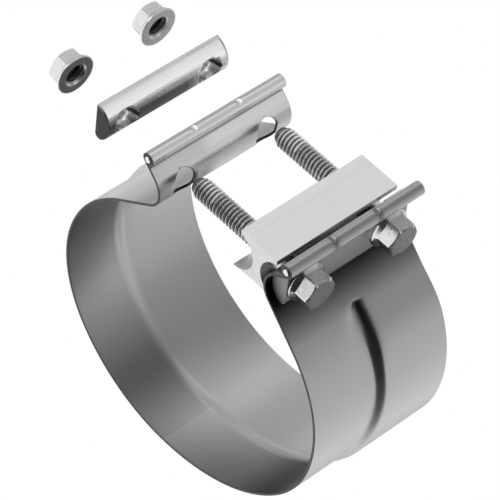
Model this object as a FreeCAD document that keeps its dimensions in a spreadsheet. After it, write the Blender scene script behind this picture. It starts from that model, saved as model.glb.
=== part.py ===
# Lap-joint exhaust band clamp, shown open with one bar and both nuts taken off.
# Frame: +Y is the pipe bore's axis, +Z points up through the gap, +X runs along the bolts to their heads.
import math
import os

import FreeCAD
import Part
import Sketcher

V = FreeCAD.Vector
doc = FreeCAD.newDocument("exhaust_clamp")

SIZES = [
    ("sheet_thickness", 1.2, "stainless sheet of the band, mm"),
    ("band_width", 72.0, "band width along the pipe"),
    ("low_x", -7.4, "lowest point of the front land, band sprung open"),
    ("low_z", -73.2, "its height"),
    ("arc_turn", 50.0, "turn of each low and middle arc of the open ring, degrees"),
    ("right_low", 87.3, "outer radius, right low arc"),
    ("right_mid", 71.8, "outer radius, right middle arc"),
    ("right_top", 63.4, "outer radius, right shoulder"),
    ("right_shoulder", 44.7, "angle from the top where the right shelf leaves the shoulder"),
    ("right_run", 23.4, "straight of the right shelf"),
    ("left_low", 71.4, "outer radius, left low arc"),
    ("left_mid", 61.5, "outer radius, left middle arc"),
    ("left_top", 71.2, "outer radius, left shoulder"),
    ("left_shoulder", 35.5, "angle from the top where the left shelf leaves the shoulder"),
    ("left_run", 20.9, "straight of the left shelf"),
    ("step_height", 2.3, "rise of the rear land over the front land"),
    ("ramp_front", -10.0, "where the ramp leaves the front land"),
    ("ramp_back", -2.0, "where the ramp meets the rear land"),
    ("step_end_angle", 64.0, "angle from the top where the full step ends"),
    ("loop_start_angle", 47.5, "angle from the top where the sheet is plain"),
    ("hook_inner", 10.1, "inner radius of a loop"),
    ("loop_turn", 101.5, "turn of the sheet round a loop"),
    ("top_run", 8.6, "straight length before the rolled hem"),
    ("roll_outer", 3.1, "outer radius of the rolled hem"),
    ("roll_turn", 301.0, "turn of the rolled hem"),
    ("rod_radius", 1.6, "hem rod"),
    ("rod_stub", 0.5, "rod end past the band's edge"),
    ("slot_width", 11.0, "bolt slot across the band"),
    ("slot_low", 7.9, "end of a bolt slot below the loop's centre"),
    ("left_high", 6.7, "end of a left slot above the loop's centre"),
    ("right_high", 8.3, "end of a right slot above the loop's centre"),
    ("stake_pitch", 24.0, "between the two stakes of a hem"),
    ("stake_radius", 1.7, "chisel nose of a stake"),
    ("stake_depth", 0.75, "depth of a stake"),
    ("bolt_edge", 13.5, "bolt axis from the band's edge"),
    ("bolt_diameter", 9.525, "bolt thread outside"),
    ("bolt_length", 63.5, "under the head"),
    ("hex_flats", 14.29, "across flats, bolt and nut"),
    ("head_height", 9.6, "bolt head with its flange"),
    ("flange_radius", 9.4, "flange of bolt and nut"),
    ("flange_thickness", 1.3, "flange rim"),
    ("flange_rise", 0.6, "height of the flange's cone over its rim"),
    ("tip_chamfer", 3.2, "length of the bolt tip's chamfer"),
    ("nut_height", 8.5, "nut with its flange"),
    ("nut_bore", 4.86, "nut bore radius"),
    ("bar_gap", 0.3, "between a bar and the loop that it lies in"),
    ("bar_flat", 1.8, "flat of a bar from the centre of its round side"),
    ("bar_inset", 3.5, "ends of bars and block inside the band's edge"),
    ("bar_hole", 5.3, "bolt hole radius of bars and block"),
    ("dimple_radius", 5.7, "cone of a bar's hole on the round side"),
    ("dimple_depth", 7.2, "depth of that cone"),
    ("bar_edge", 2.2, "rounded low edge of a bar"),
    ("block_back", 19.0, "spacer block centre from the right loop's centre"),
    ("block_top", 12.0, "block top over the bolt axis"),
    ("block_half", 10.3, "half width of the top plate"),
    ("plate_edge", 2.5, "thickness of the top plate at its edge"),
    ("plate_lip", 0.4, "how far a hollow side's round goes up past the plate's underside"),
    ("concave_x", 12.4, "centre of a hollow side"),
    ("foot_half", 12.3, "half width of the foot"),
    ("pipe_radius", 63.5, "pipe that the foot rests on"),
    ("foot_drop", 9.8, "middle of the foot's underside below the bolt axis"),
    ("foot_edge", 0.5, "thickness of the foot's feathered edge"),
    ("bar_off", 69.9, "centre of the taken-off bar's round side from the ring's centre"),
    ("nut_off", 92.4, "flange face of the taken-off nuts from the ring's centre"),
    ("bar_radius", "=hook_inner - bar_gap", "round side of a bar"),
    ("bolt_pitch", "=band_width - 2 * bolt_edge", "between the two bolts"),
    ("bar_length", "=band_width - 2 * bar_inset", "length of bars and spacer block"),
    ("pipe_drop", "=pipe_radius + foot_drop", "pipe axis below the bolt axis, closed"),
    ("foot_low", "=sqrt(pipe_radius * pipe_radius - foot_half * foot_half) - pipe_drop", "underside of the foot's edge"),
    ("concave_radius", "=(block_top - plate_edge + plate_lip - foot_low - foot_edge) / 2", "hollow sides of the block"),
    ("concave_z", "=foot_low + foot_edge + concave_radius", "height of a hollow's centre over the bolt axis"),
    ("right_mid_x", "=low_x + (right_low - right_mid) * sin(arc_turn)", "centre, right middle arc"),
    ("right_mid_z", "=low_z + right_low - (right_low - right_mid) * cos(arc_turn)", ""),
    ("right_top_x", "=right_mid_x + (right_mid - right_top) * sin(2 * arc_turn)", "centre, right shoulder"),
    ("right_top_z", "=right_mid_z - (right_mid - right_top) * cos(2 * arc_turn)", ""),
    ("left_mid_x", "=low_x - (left_low - left_mid) * sin(arc_turn)", "centre, left middle arc"),
    ("left_mid_z", "=low_z + left_low - (left_low - left_mid) * cos(arc_turn)", ""),
    ("left_top_x", "=left_mid_x - (left_mid - left_top) * sin(2 * arc_turn)", "centre, left shoulder"),
    ("left_top_z", "=left_mid_z - (left_mid - left_top) * cos(2 * arc_turn)", ""),
    ("right_low_z", "=low_z + right_low", "centre, right low arc"),
    ("left_low_z", "=low_z + left_low", "centre, left low arc"),
    ("right_out", "=(right_top + hook_inner) * sin(right_shoulder) - right_run * cos(right_shoulder)",
     "right loop's centre beside the shoulder's centre"),
    ("right_up", "=(right_top + hook_inner) * cos(right_shoulder) + right_run * sin(right_shoulder)", "and above it"),
    ("left_out", "=(left_top + hook_inner) * sin(left_shoulder) - left_run * cos(left_shoulder)",
     "left loop's centre beside the shoulder's centre"),
    ("left_up", "=(left_top + hook_inner) * cos(left_shoulder) + left_run * sin(left_shoulder)", "and above it"),
    ("hook_x", "=right_top_x + right_out", "right loop's centre"),
    ("hook_z", "=right_top_z + right_up", "right loop's centre and bolt axis"),
    ("right_climb", "=180 - right_shoulder - loop_turn", "climb of the sheet before the right hem, degrees"),
    ("left_climb", "=180 - left_shoulder - loop_turn", "climb before the left hem"),
]
sheet = doc.addObject("Spreadsheet::Sheet", "size")
value = {}
for row, (name, number, words) in enumerate(SIZES, 1):
    sheet.set("A%d" % row, name)
    sheet.set("C%d" % row, words)
    sheet.setAlias("B%d" % row, name)
    sheet.set("B%d" % row, str(number))
    doc.recompute()
    value[name] = float(sheet.get(name))


def new_body(label):
    body = doc.addObject("PartDesign::Body", label)
    body.Label = label
    return body


def new_sketch(body, name, plane, offset=None, turn=0.0):
    """A sketch on the body's own XY, XZ or YZ plane, moved along or turned about that plane's axes."""
    sketch = body.newObject("Sketcher::SketchObject", name)
    index = {"XY": 3, "XZ": 4, "YZ": 5}[plane]
    sketch.AttachmentSupport = [(body.Origin.OriginFeatures[index], "")]
    sketch.MapMode = "FlatFace"
    sketch.AttachmentOffset = FreeCAD.Placement(V(0, 0, 0), FreeCAD.Rotation(V(1, 0, 0), turn))
    if offset:
        sketch.setExpression("AttachmentOffset.Base.z", offset)
    doc.recompute()
    return sketch


def named(sketch, constraint, name, formula):
    """Adds one driving size to the sketch and ties it to the table."""
    index = sketch.addConstraint(constraint)
    sketch.renameConstraint(index, name)
    sketch.setExpression("Constraints." + name, formula)
    return index


def polygon(sketch, points):
    """Closed outline through points given as pairs of (number, formula)."""
    count = len(points)
    for i in range(count):
        a = points[i]
        b = points[(i + 1) % count]
        sketch.addGeometry(Part.LineSegment(V(a[0][0], a[1][0], 0), V(b[0][0], b[1][0], 0)), False)
    for i in range(count):
        sketch.addConstraint(Sketcher.Constraint("Coincident", i, 2, (i + 1) % count, 1))
    for i, (px, py) in enumerate(points):
        named(sketch, Sketcher.Constraint("DistanceX", -1, 1, i, 1, px[0]), "x%d" % i, px[1])
        named(sketch, Sketcher.Constraint("DistanceY", -1, 1, i, 1, py[0]), "y%d" % i, py[1])


def step_outline(sketch, radius, share):
    """Section of the stepped sheet at that radius; share is the part of the step that is left there."""
    r = value[radius]
    t = value["sheet_thickness"]
    h = value["step_height"] * share
    w = value["band_width"] / 2
    a = value["ramp_front"]
    b = value["ramp_back"]
    outer = "size." + radius
    inner = outer + " - size.sheet_thickness"
    rise = " + size.step_height * %g" % share
    points = [
        ((-w, "-size.band_width / 2"), (r, outer)),
        ((a, "size.ramp_front"), (r, outer)),
        ((b, "size.ramp_back"), (r + h, outer + rise)),
        ((w, "size.band_width / 2"), (r + h, outer + rise)),
        ((w, "size.band_width / 2"), (r + h - t, inner + rise)),
        ((b, "size.ramp_back"), (r + h - t, inner + rise)),
        ((a, "size.ramp_front"), (r - t, inner)),
        ((-w, "-size.band_width / 2"), (r - t, inner)),
    ]
    polygon(sketch, points)


def loop_outline(sketch, side):
    """Closed outline of a loop, drawn to the right of its shoulder's centre: plain arc, straight shelf,
    round of the loop, climb and rolled hem. side is the word that the sizes of this end begin with."""
    r1 = value[side + "_top"]
    t = value["sheet_thickness"]
    ri = value["hook_inner"]
    ro = value["roll_outer"]
    heading = math.radians(value[side + "_climb"])
    start = math.radians(90 - value["loop_start_angle"])
    lean = math.radians(value[side + "_shoulder"])
    n1 = V(math.sin(lean), math.cos(lean), 0)
    side_way = V(-math.sin(heading), math.cos(heading), 0)
    ahead = V(math.cos(heading), math.sin(heading), 0)
    hook = V(value[side + "_out"], value[side + "_up"], 0)
    top = hook + side_way * ri
    roll = top + ahead * value["top_run"] + side_way * ro
    low_roll = heading - math.pi / 2
    close = low_roll + math.radians(value["roll_turn"])
    zaxis = V(0, 0, 1)

    def arc(centre, radius, low, high):
        return Part.ArcOfCircle(Part.Circle(centre, zaxis, radius), low, high)

    def line(a, b):
        return Part.LineSegment(a, b)

    turn = math.pi + (math.pi / 2 - lean)
    tip = V(math.cos(close), math.sin(close), 0)
    edge = V(math.cos(start), math.sin(start), 0)
    shapes = [
        arc(V(0, 0, 0), r1, start, math.pi / 2 - lean),
        line(n1 * r1, hook - n1 * ri),
        arc(hook, ri, heading + math.pi / 2, turn),
        line(top, top + ahead * value["top_run"]),
        arc(roll, ro, low_roll, close),
        line(roll + tip * ro, roll + tip * (ro - t)),
        arc(roll, ro - t, low_roll, close),
        line(roll - side_way * (ro - t), top + side_way * t),
        arc(hook, ri + t, heading + math.pi / 2, turn),
        line(hook - n1 * (ri + t), n1 * (r1 - t)),
        arc(V(0, 0, 0), r1 - t, start, math.pi / 2 - lean),
        line(edge * (r1 - t), edge * r1),
    ]
    sketch.addGeometry(shapes, False)
    joints = [
        (0, 2, 1, 1, 1), (1, 2, 2, 2, 1), (2, 1, 3, 1, 1), (3, 2, 4, 1, 1), (4, 2, 5, 1, 0),
        (5, 2, 6, 2, 0), (6, 1, 7, 1, 1), (7, 2, 8, 1, 1), (8, 2, 9, 1, 1), (9, 2, 10, 2, 1),
        (10, 1, 11, 1, 0), (11, 2, 0, 1, 0),
    ]
    for a, end_a, b, end_b, smooth in joints:
        kind = "Tangent" if smooth else "Coincident"
        sketch.addConstraint(Sketcher.Constraint(kind, a, end_a, b, end_b))
    sketch.addConstraint(Sketcher.Constraint("Coincident", 0, 3, -1, 1))
    sketch.addConstraint(Sketcher.Constraint("Coincident", 10, 3, -1, 1))
    sketch.addConstraint(Sketcher.Constraint("Coincident", 8, 3, 2, 3))
    sketch.addConstraint(Sketcher.Constraint("Coincident", 6, 3, 4, 3))
    sketch.addConstraint(Sketcher.Constraint("PointOnObject", -1, 1, 11))
    sketch.addConstraint(Sketcher.Constraint("PointOnObject", 4, 3, 5))
    named(sketch, Sketcher.Constraint("Radius", 0, r1), "ring", "size.%s_top" % side)
    named(sketch, Sketcher.Constraint("Radius", 10, r1 - t), "ring_in", "size.%s_top - size.sheet_thickness" % side)
    named(sketch, Sketcher.Constraint("Radius", 2, ri), "hook", "size.hook_inner")
    named(sketch, Sketcher.Constraint("Radius", 8, ri + t), "hook_out", "size.hook_inner + size.sheet_thickness")
    named(sketch, Sketcher.Constraint("Radius", 4, ro), "roll", "size.roll_outer")
    named(sketch, Sketcher.Constraint("Radius", 6, ro - t), "roll_in", "size.roll_outer - size.sheet_thickness")
    named(sketch, Sketcher.Constraint("DistanceX", -1, 1, 2, 3, hook.x), "hook_out_x", "size.%s_out" % side)
    named(sketch, Sketcher.Constraint("DistanceY", -1, 1, 2, 3, hook.y), "hook_up_z", "size.%s_up" % side)
    named(sketch, Sketcher.Constraint("Distance", 3, value["top_run"]), "run", "size.top_run")
    named(sketch, Sketcher.Constraint("Angle", 3, heading), "climb", "size.%s_climb * 1 deg" % side)
    named(sketch, Sketcher.Constraint("DistanceX", -1, 1, 0, 1, r1 * math.cos(start)), "start",
          "size.%s_top * sin(size.loop_start_angle)" % side)
    named(sketch, Sketcher.Constraint("Angle", 5, close - math.pi), "close",
          "(size.%s_climb + size.roll_turn - 270) * 1 deg" % side)


def fuse(label, shapes):
    joined = doc.addObject("Part::MultiFuse", label)
    joined.Label = label
    joined.Shapes = shapes
    joined.Refine = True
    return joined


def mirrored(label, source):
    copy = doc.addObject("Part::Mirroring", label)
    copy.Label = label
    copy.Source = source
    copy.Base = V(0, 0, 0)
    copy.Normal = V(1, 0, 0)
    return copy


RING = [
    ("right_shoulder_arc", "size.right_top_x", "size.right_top_z", "right_top",
     "size.step_end_angle", "180 - 2 * size.arc_turn"),
    ("right_side_arc", "size.right_mid_x", "size.right_mid_z", "right_mid",
     "180 - 2 * size.arc_turn", "180 - size.arc_turn"),
    ("right_low_arc", "size.low_x", "size.right_low_z", "right_low", "180 - size.arc_turn", "180"),
    ("left_low_arc", "size.low_x", "size.left_low_z", "left_low", "180", "180 + size.arc_turn"),
    ("left_side_arc", "size.left_mid_x", "size.left_mid_z", "left_mid",
     "180 + size.arc_turn", "180 + 2 * size.arc_turn"),
    ("left_shoulder_arc", "size.left_top_x", "size.left_top_z", "left_top",
     "180 + 2 * size.arc_turn", "360 - size.step_end_angle"),
]
FADE = [(0.0, 1.0), (0.3, 0.84), (0.65, 0.28), (1.0, 0.0)]


def ring_arc(label, x, z, radius, begin, end):
    """One arc of the stepped ring, turned about its own centre between two angles from the top."""
    body = new_body(label)
    section = new_sketch(body, label + "_section", "YZ")
    step_outline(section, radius, 1.0)
    section.setExpression("AttachmentOffset.Rotation.Angle", "((%s) + (%s)) / 2 * 1 deg" % (begin, end))
    doc.recompute()
    turned = body.newObject("PartDesign::Revolution", label + "_turn")
    turned.Profile = section
    turned.ReferenceAxis = (body.Origin.OriginFeatures[1], [""])
    turned.Midplane = True
    turned.setExpression("Angle", "((%s) - (%s)) * 1 deg" % (end, begin))
    body.setExpression("Placement.Base.x", x)
    body.setExpression("Placement.Base.z", z)
    return body


def slot_outline(sketch, side):
    """Two upright slots with round ends, one for each bolt."""
    half = value["slot_width"] / 2
    level = value[side + "_up"]
    for n, way in enumerate((-1, 1)):
        y = way * value["bolt_pitch"] / 2
        k = 4 * n
        zaxis = V(0, 0, 1)
        high = level + value[side + "_high"] - half
        low = level - value["slot_low"] + half
        sketch.addGeometry(Part.ArcOfCircle(Part.Circle(V(y, high, 0), zaxis, half), 0, math.pi), False)
        sketch.addGeometry(Part.LineSegment(V(y - half, high, 0), V(y - half, low, 0)), False)
        sketch.addGeometry(Part.ArcOfCircle(Part.Circle(V(y, low, 0), zaxis, half), math.pi, 2 * math.pi), False)
        sketch.addGeometry(Part.LineSegment(V(y + half, low, 0), V(y + half, high, 0)), False)
        sketch.addConstraint(Sketcher.Constraint("Tangent", k, 2, k + 1, 1))
        sketch.addConstraint(Sketcher.Constraint("Tangent", k + 1, 2, k + 2, 1))
        sketch.addConstraint(Sketcher.Constraint("Tangent", k + 2, 2, k + 3, 1))
        sketch.addConstraint(Sketcher.Constraint("Tangent", k + 3, 2, k, 1))
        named(sketch, Sketcher.Constraint("DistanceX", -1, 1, k, 3, y), "y_%d" % n, "%d * size.bolt_pitch / 2" % way)
        named(sketch, Sketcher.Constraint("DistanceY", -1, 1, k, 3, high), "high_%d" % n,
              "size.{0}_up + size.{0}_high - size.slot_width / 2".format(side))
        named(sketch, Sketcher.Constraint("DistanceY", -1, 1, k + 2, 3, low), "low_%d" % n,
              "size.%s_up - size.slot_low + size.slot_width / 2" % side)
        named(sketch, Sketcher.Constraint("Radius", k, half), "end_%d" % n, "size.slot_width / 2")


def band_end(side):
    """Fade of the step, loop, rolled hem, bolt slots and stakes of one end, to the right of its shoulder's centre."""
    fade_body = new_body(side + "_fade")
    sections = []
    for i, (way, share) in enumerate(FADE):
        section = new_sketch(fade_body, "%s_fade_%d" % (side, i), "YZ")
        step_outline(section, side + "_top", share)
        section.setExpression(
            "AttachmentOffset.Rotation.Angle",
            "(size.step_end_angle + (size.loop_start_angle - size.step_end_angle) * %g) * 1 deg" % way,
        )
        sections.append(section)
    doc.recompute()
    fade = fade_body.newObject("PartDesign::AdditiveLoft", side + "_fade_loft")
    fade.Profile = sections[0]
    fade.Sections = sections[1:]
    fade.Ruled = True

    loop_body = new_body(side + "_loop")
    loop_sketch = new_sketch(loop_body, side + "_loop_section", "XZ")
    loop_outline(loop_sketch, side)
    loop_pad = loop_body.newObject("PartDesign::Pad", side + "_loop_pad")
    loop_pad.Profile = loop_sketch
    loop_pad.Midplane = True
    loop_pad.setExpression("Length", "size.band_width")
    doc.recompute()

    slot_body = new_body(side + "_slot_tool")
    slot_sketch = new_sketch(slot_body, side + "_slot_section", "YZ",
                             "size.%s_out - size.hook_inner - 3.25 * size.sheet_thickness" % side)
    slot_outline(slot_sketch, side)
    slot_pad = slot_body.newObject("PartDesign::Pad", side + "_slot_pad")
    slot_pad.Profile = slot_sketch
    slot_pad.setExpression("Length", "7.5 * size.sheet_thickness")
    tools = [slot_body]
    for n, way in enumerate((-1, 1)):
        stake = doc.addObject("Part::Cylinder", "%s_stake_tool_%d" % (side, n))
        stake.setExpression("Height", "4 * size.roll_outer")
        stake.setExpression("Radius", "size.stake_radius")
        stake.Placement.Rotation = FreeCAD.Rotation(V(0, 1, 0), 90)
        stake.setExpression("Placement.Base.x", roll_out(side) + " - 2 * size.roll_outer")
        stake.setExpression("Placement.Base.y", "%d * size.stake_pitch / 2" % way)
        stake.setExpression("Placement.Base.z", roll_up(side) + " + size.roll_outer + size.stake_radius - size.stake_depth")
        tools.append(stake)
    end = doc.addObject("Part::Cut", side + "_end")
    end.Base = fuse(side + "_sheet", [fade_body, loop_body])
    end.Tool = fuse(side + "_cut_tools", tools)
    return end


def roll_out(side):
    """Rolled hem's centre beside its shoulder's centre."""
    return ("(size.{0}_out - (size.hook_inner + size.roll_outer) * sin(size.{0}_climb)"
            " + size.top_run * cos(size.{0}_climb))").format(side)


def roll_up(side):
    """Rolled hem's centre above its shoulder's centre."""
    return ("(size.{0}_up + (size.hook_inner + size.roll_outer) * cos(size.{0}_climb)"
            " + size.top_run * sin(size.{0}_climb))").format(side)


# The band: six arcs of the stepped ring, then at each end the fade of the step and the loop.
arcs = [ring_arc(*row) for row in RING]
right_end = band_end("right")
right_end.setExpression("Placement.Base.x", "size.right_top_x")
right_end.setExpression("Placement.Base.z", "size.right_top_z")
left_end = mirrored("left_end_turned", band_end("left"))
left_end.setExpression("Placement.Base.x", "size.left_top_x")
left_end.setExpression("Placement.Base.z", "size.left_top_z")
band = fuse("band", arcs + [right_end, left_end])


def hem_rod(label, side, way):
    """Straight rod that the hem is rolled round."""
    rod = doc.addObject("Part::Cylinder", label)
    rod.Label = label
    rod.setExpression("Radius", "size.rod_radius")
    rod.setExpression("Height", "size.band_width + 2 * size.rod_stub")
    rod.Placement.Rotation = FreeCAD.Rotation(V(1, 0, 0), -90)
    rod.setExpression("Placement.Base.x", "size.%s_top_x + %d * %s" % (side, way, roll_out(side)))
    rod.setExpression("Placement.Base.y", "-size.band_width / 2 - size.rod_stub")
    rod.setExpression("Placement.Base.z", "size.%s_top_z + %s" % (side, roll_up(side)))
    return rod


rod_left = hem_rod("rod_left", "left", -1)
rod_right = hem_rod("rod_right", "right", 1)


def clamp_bar(label, side):
    """Half-round bar with two bolt holes; its round side faces the clamp's middle."""
    body = new_body(label)
    r = value["bar_radius"]
    f = value["bar_flat"]
    half = math.sqrt(r * r - f * f)
    low = math.atan2(half, f)
    sketch = new_sketch(body, label + "_section", "XZ")
    zaxis = V(0, 0, 1)
    if side > 0:
        arc = Part.ArcOfCircle(Part.Circle(V(0, 0, 0), zaxis, r), math.pi - low, math.pi + low)
        ends = (V(-f, -half, 0), V(-f, half, 0))
    else:
        arc = Part.ArcOfCircle(Part.Circle(V(0, 0, 0), zaxis, r), -low, low)
        ends = (V(f, half, 0), V(f, -half, 0))
    sketch.addGeometry(arc, False)
    sketch.addGeometry(Part.LineSegment(*ends), False)
    sketch.addConstraint(Sketcher.Constraint("Coincident", 0, 2, 1, 1))
    sketch.addConstraint(Sketcher.Constraint("Coincident", 1, 2, 0, 1))
    sketch.addConstraint(Sketcher.Constraint("Coincident", 0, 3, -1, 1))
    sketch.addConstraint(Sketcher.Constraint("Vertical", 1))
    named(sketch, Sketcher.Constraint("Radius", 0, r), "round", "size.bar_radius")
    named(sketch, Sketcher.Constraint("DistanceX", -1, 1, 1, 1, -side * f), "flat", "%d * size.bar_flat" % -side)
    pad = body.newObject("PartDesign::Pad", label + "_pad")
    pad.Profile = sketch
    pad.Midplane = True
    pad.setExpression("Length", "size.bar_length")
    doc.recompute()
    edge = None
    for i, e in enumerate(pad.Shape.Edges, 1):
        box = e.BoundBox
        if box.YLength > 60 and box.ZMax < 0:
            edge = "Edge%d" % i
    rounding = body.newObject("PartDesign::Fillet", label + "_edge")
    rounding.Base = (pad, [edge])
    rounding.setExpression("Radius", "size.bar_edge")
    holes = new_sketch(body, label + "_holes", "YZ")
    for n, s in enumerate((-1, 1)):
        y = s * value["bolt_pitch"] / 2
        holes.addGeometry(Part.Circle(V(y, 0, 0), zaxis, value["bar_hole"]), False)
        named(holes, Sketcher.Constraint("DistanceX", -1, 1, n, 3, y), "y_%d" % n, "%d * size.bolt_pitch / 2" % s)
        holes.addConstraint(Sketcher.Constraint("PointOnObject", n, 3, -1))
        named(holes, Sketcher.Constraint("Radius", n, value["bar_hole"]), "r_%d" % n, "size.bar_hole")
    cut = body.newObject("PartDesign::Pocket", label + "_drill")
    cut.Profile = holes
    cut.Type = 1
    cut.Midplane = True
    cone = new_sketch(body, label + "_cone", "XZ", "size.bolt_pitch / 2")
    d = value["dimple_depth"]
    m = value["dimple_radius"]
    sx = -side
    cone_points = [
        ((sx * (r - d), "%d * (size.bar_radius - size.dimple_depth)" % sx), (0.0, "0")),
        ((sx * (r + 1), "%d * (size.bar_radius + 1)" % sx), (0.0, "0")),
        ((sx * (r + 1), "%d * (size.bar_radius + 1)" % sx), (m + 1, "size.dimple_radius + 1")),
        ((sx * (r - d), "%d * (size.bar_radius - size.dimple_depth)" % sx),
         (value["bar_hole"] - 0.6, "size.bar_hole - 0.6")),
    ]
    polygon(cone, cone_points)
    groove = body.newObject("PartDesign::Groove", label + "_dimple")
    groove.Profile = cone
    groove.ReferenceAxis = (cone, ["H_Axis"])
    groove.Angle = 360
    doc.recompute()
    pair = body.newObject("PartDesign::Mirrored", label + "_dimples")
    pair.Originals = [groove]
    pair.MirrorPlane = (body.Origin.OriginFeatures[4], [""])
    body.Tip = pair
    doc.recompute()
    return body


bar_right = clamp_bar("bar_right", 1)
bar_right.setExpression("Placement.Base.x", "size.hook_x")
bar_right.setExpression("Placement.Base.z", "size.hook_z")
bar_left = clamp_bar("bar_left", -1)
bar_left.setExpression("Placement.Base.x", "-size.bar_off")
bar_left.setExpression("Placement.Base.z", "size.hook_z")


def block_outline(sketch):
    """I-shaped section: flat top plate, hollow sides, feathered foot with the pipe's curve below."""
    top = value["block_top"]
    half = value["block_half"]
    edge = top - value["plate_edge"]
    cx = value["concave_x"]
    cr = value["concave_radius"]
    foot = value["foot_half"]
    pr = value["pipe_radius"]
    drop = value["pipe_drop"]
    cz = value["concave_z"]
    inner = cx - math.sqrt(cr * cr - (edge - cz) ** 2)
    foot_z = cz - math.sqrt(cr * cr - (cx - foot) ** 2)
    base_z = -drop + math.sqrt(pr * pr - foot * foot)
    zaxis = V(0, 0, 1)
    up = math.atan2(edge - cz, inner - cx)
    down = math.atan2(foot_z - cz, foot - cx) + 2 * math.pi
    shapes = [
        Part.LineSegment(V(half, top, 0), V(-half, top, 0)),
        Part.LineSegment(V(-half, top, 0), V(-half, edge, 0)),
        Part.LineSegment(V(-half, edge, 0), V(-inner, edge, 0)),
        Part.ArcOfCircle(Part.Circle(V(-cx, cz, 0), zaxis, cr), math.pi - down, math.pi - up),
        Part.LineSegment(V(-foot, foot_z, 0), V(-foot, base_z, 0)),
        Part.ArcOfCircle(Part.Circle(V(0, -drop, 0), zaxis, pr), math.pi / 2 - math.asin(foot / pr),
                         math.pi / 2 + math.asin(foot / pr)),
        Part.LineSegment(V(foot, base_z, 0), V(foot, foot_z, 0)),
        Part.ArcOfCircle(Part.Circle(V(cx, cz, 0), zaxis, cr), up, down),
        Part.LineSegment(V(inner, edge, 0), V(half, edge, 0)),
        Part.LineSegment(V(half, edge, 0), V(half, top, 0)),
    ]
    sketch.addGeometry(shapes, False)
    chain = [
        (0, 2, 1, 1), (1, 2, 2, 1), (2, 2, 3, 2), (3, 1, 4, 1), (4, 2, 5, 2),
        (5, 1, 6, 1), (6, 2, 7, 2), (7, 1, 8, 1), (8, 2, 9, 1), (9, 2, 0, 1),
    ]
    for a, end_a, b, end_b in chain:
        sketch.addConstraint(Sketcher.Constraint("Coincident", a, end_a, b, end_b))
    for i in (2, 8):
        sketch.addConstraint(Sketcher.Constraint("Horizontal", i))
    for i in (1, 4, 6, 9):
        sketch.addConstraint(Sketcher.Constraint("Vertical", i))
    sketch.addConstraint(Sketcher.Constraint("Symmetric", 0, 1, 0, 2, -2))
    sketch.addConstraint(Sketcher.Constraint("Symmetric", 5, 1, 5, 2, -2))
    sketch.addConstraint(Sketcher.Constraint("Symmetric", 3, 3, 7, 3, -2))
    sketch.addConstraint(Sketcher.Constraint("Equal", 1, 9))
    sketch.addConstraint(Sketcher.Constraint("Equal", 3, 7))
    named(sketch, Sketcher.Constraint("DistanceY", -1, 1, 0, 1, top), "top", "size.block_top")
    named(sketch, Sketcher.Constraint("DistanceX", -1, 1, 0, 1, half), "half", "size.block_half")
    named(sketch, Sketcher.Constraint("Distance", 9, value["plate_edge"]), "edge", "size.plate_edge")
    named(sketch, Sketcher.Constraint("DistanceX", -1, 1, 7, 3, cx), "hollow_x", "size.concave_x")
    named(sketch, Sketcher.Constraint("DistanceY", -1, 1, 7, 3, cz), "hollow_z", "size.concave_z")
    named(sketch, Sketcher.Constraint("Radius", 7, cr), "hollow", "size.concave_radius")
    named(sketch, Sketcher.Constraint("DistanceX", -1, 1, 6, 1, foot), "foot", "size.foot_half")
    named(sketch, Sketcher.Constraint("Radius", 5, pr), "pipe", "size.pipe_radius")
    named(sketch, Sketcher.Constraint("DistanceY", 5, 3, -1, 1, drop), "drop", "size.pipe_drop")


block = new_body("spacer_block")
block_sketch = new_sketch(block, "block_section", "XZ")
block_outline(block_sketch)
block_pad = block.newObject("PartDesign::Pad", "block_pad")
block_pad.Profile = block_sketch
block_pad.Midplane = True
block_pad.setExpression("Length", "size.bar_length")
block_holes = new_sketch(block, "block_holes", "YZ")
for n, s in enumerate((-1, 1)):
    y = s * value["bolt_pitch"] / 2
    block_holes.addGeometry(Part.Circle(V(y, 0, 0), V(0, 0, 1), value["bar_hole"]), False)
    named(block_holes, Sketcher.Constraint("DistanceX", -1, 1, n, 3, y), "y_%d" % n, "%d * size.bolt_pitch / 2" % s)
    block_holes.addConstraint(Sketcher.Constraint("PointOnObject", n, 3, -1))
    named(block_holes, Sketcher.Constraint("Radius", n, value["bar_hole"]), "r_%d" % n, "size.bar_hole")
block_drill = block.newObject("PartDesign::Pocket", "block_drill")
block_drill.Profile = block_holes
block_drill.Type = 1
block_drill.Midplane = True
block.Tip = block_drill
block.setExpression("Placement.Base.x", "size.hook_x - size.block_back")
block.setExpression("Placement.Base.z", "size.hook_z")


def hexagon(sketch):
    """Regular hexagon held by its flats."""
    r = value["hex_flats"] / math.sqrt(3)
    corners = [V(r * math.cos(math.pi / 3 * i), r * math.sin(math.pi / 3 * i), 0) for i in range(6)]
    for i in range(6):
        sketch.addGeometry(Part.LineSegment(corners[i], corners[(i + 1) % 6]), False)
    sketch.addGeometry(Part.Circle(V(0, 0, 0), V(0, 0, 1), r), True)
    for i in range(6):
        sketch.addConstraint(Sketcher.Constraint("Coincident", i, 2, (i + 1) % 6, 1))
        sketch.addConstraint(Sketcher.Constraint("PointOnObject", i, 1, 6))
    for i in range(5):
        sketch.addConstraint(Sketcher.Constraint("Equal", i, i + 1))
    sketch.addConstraint(Sketcher.Constraint("Coincident", 6, 3, -1, 1))
    sketch.addConstraint(Sketcher.Constraint("PointOnObject", 0, 1, -1))
    named(sketch, Sketcher.Constraint("Radius", 6, r), "corner", "size.hex_flats / sqrt(3)")


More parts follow.
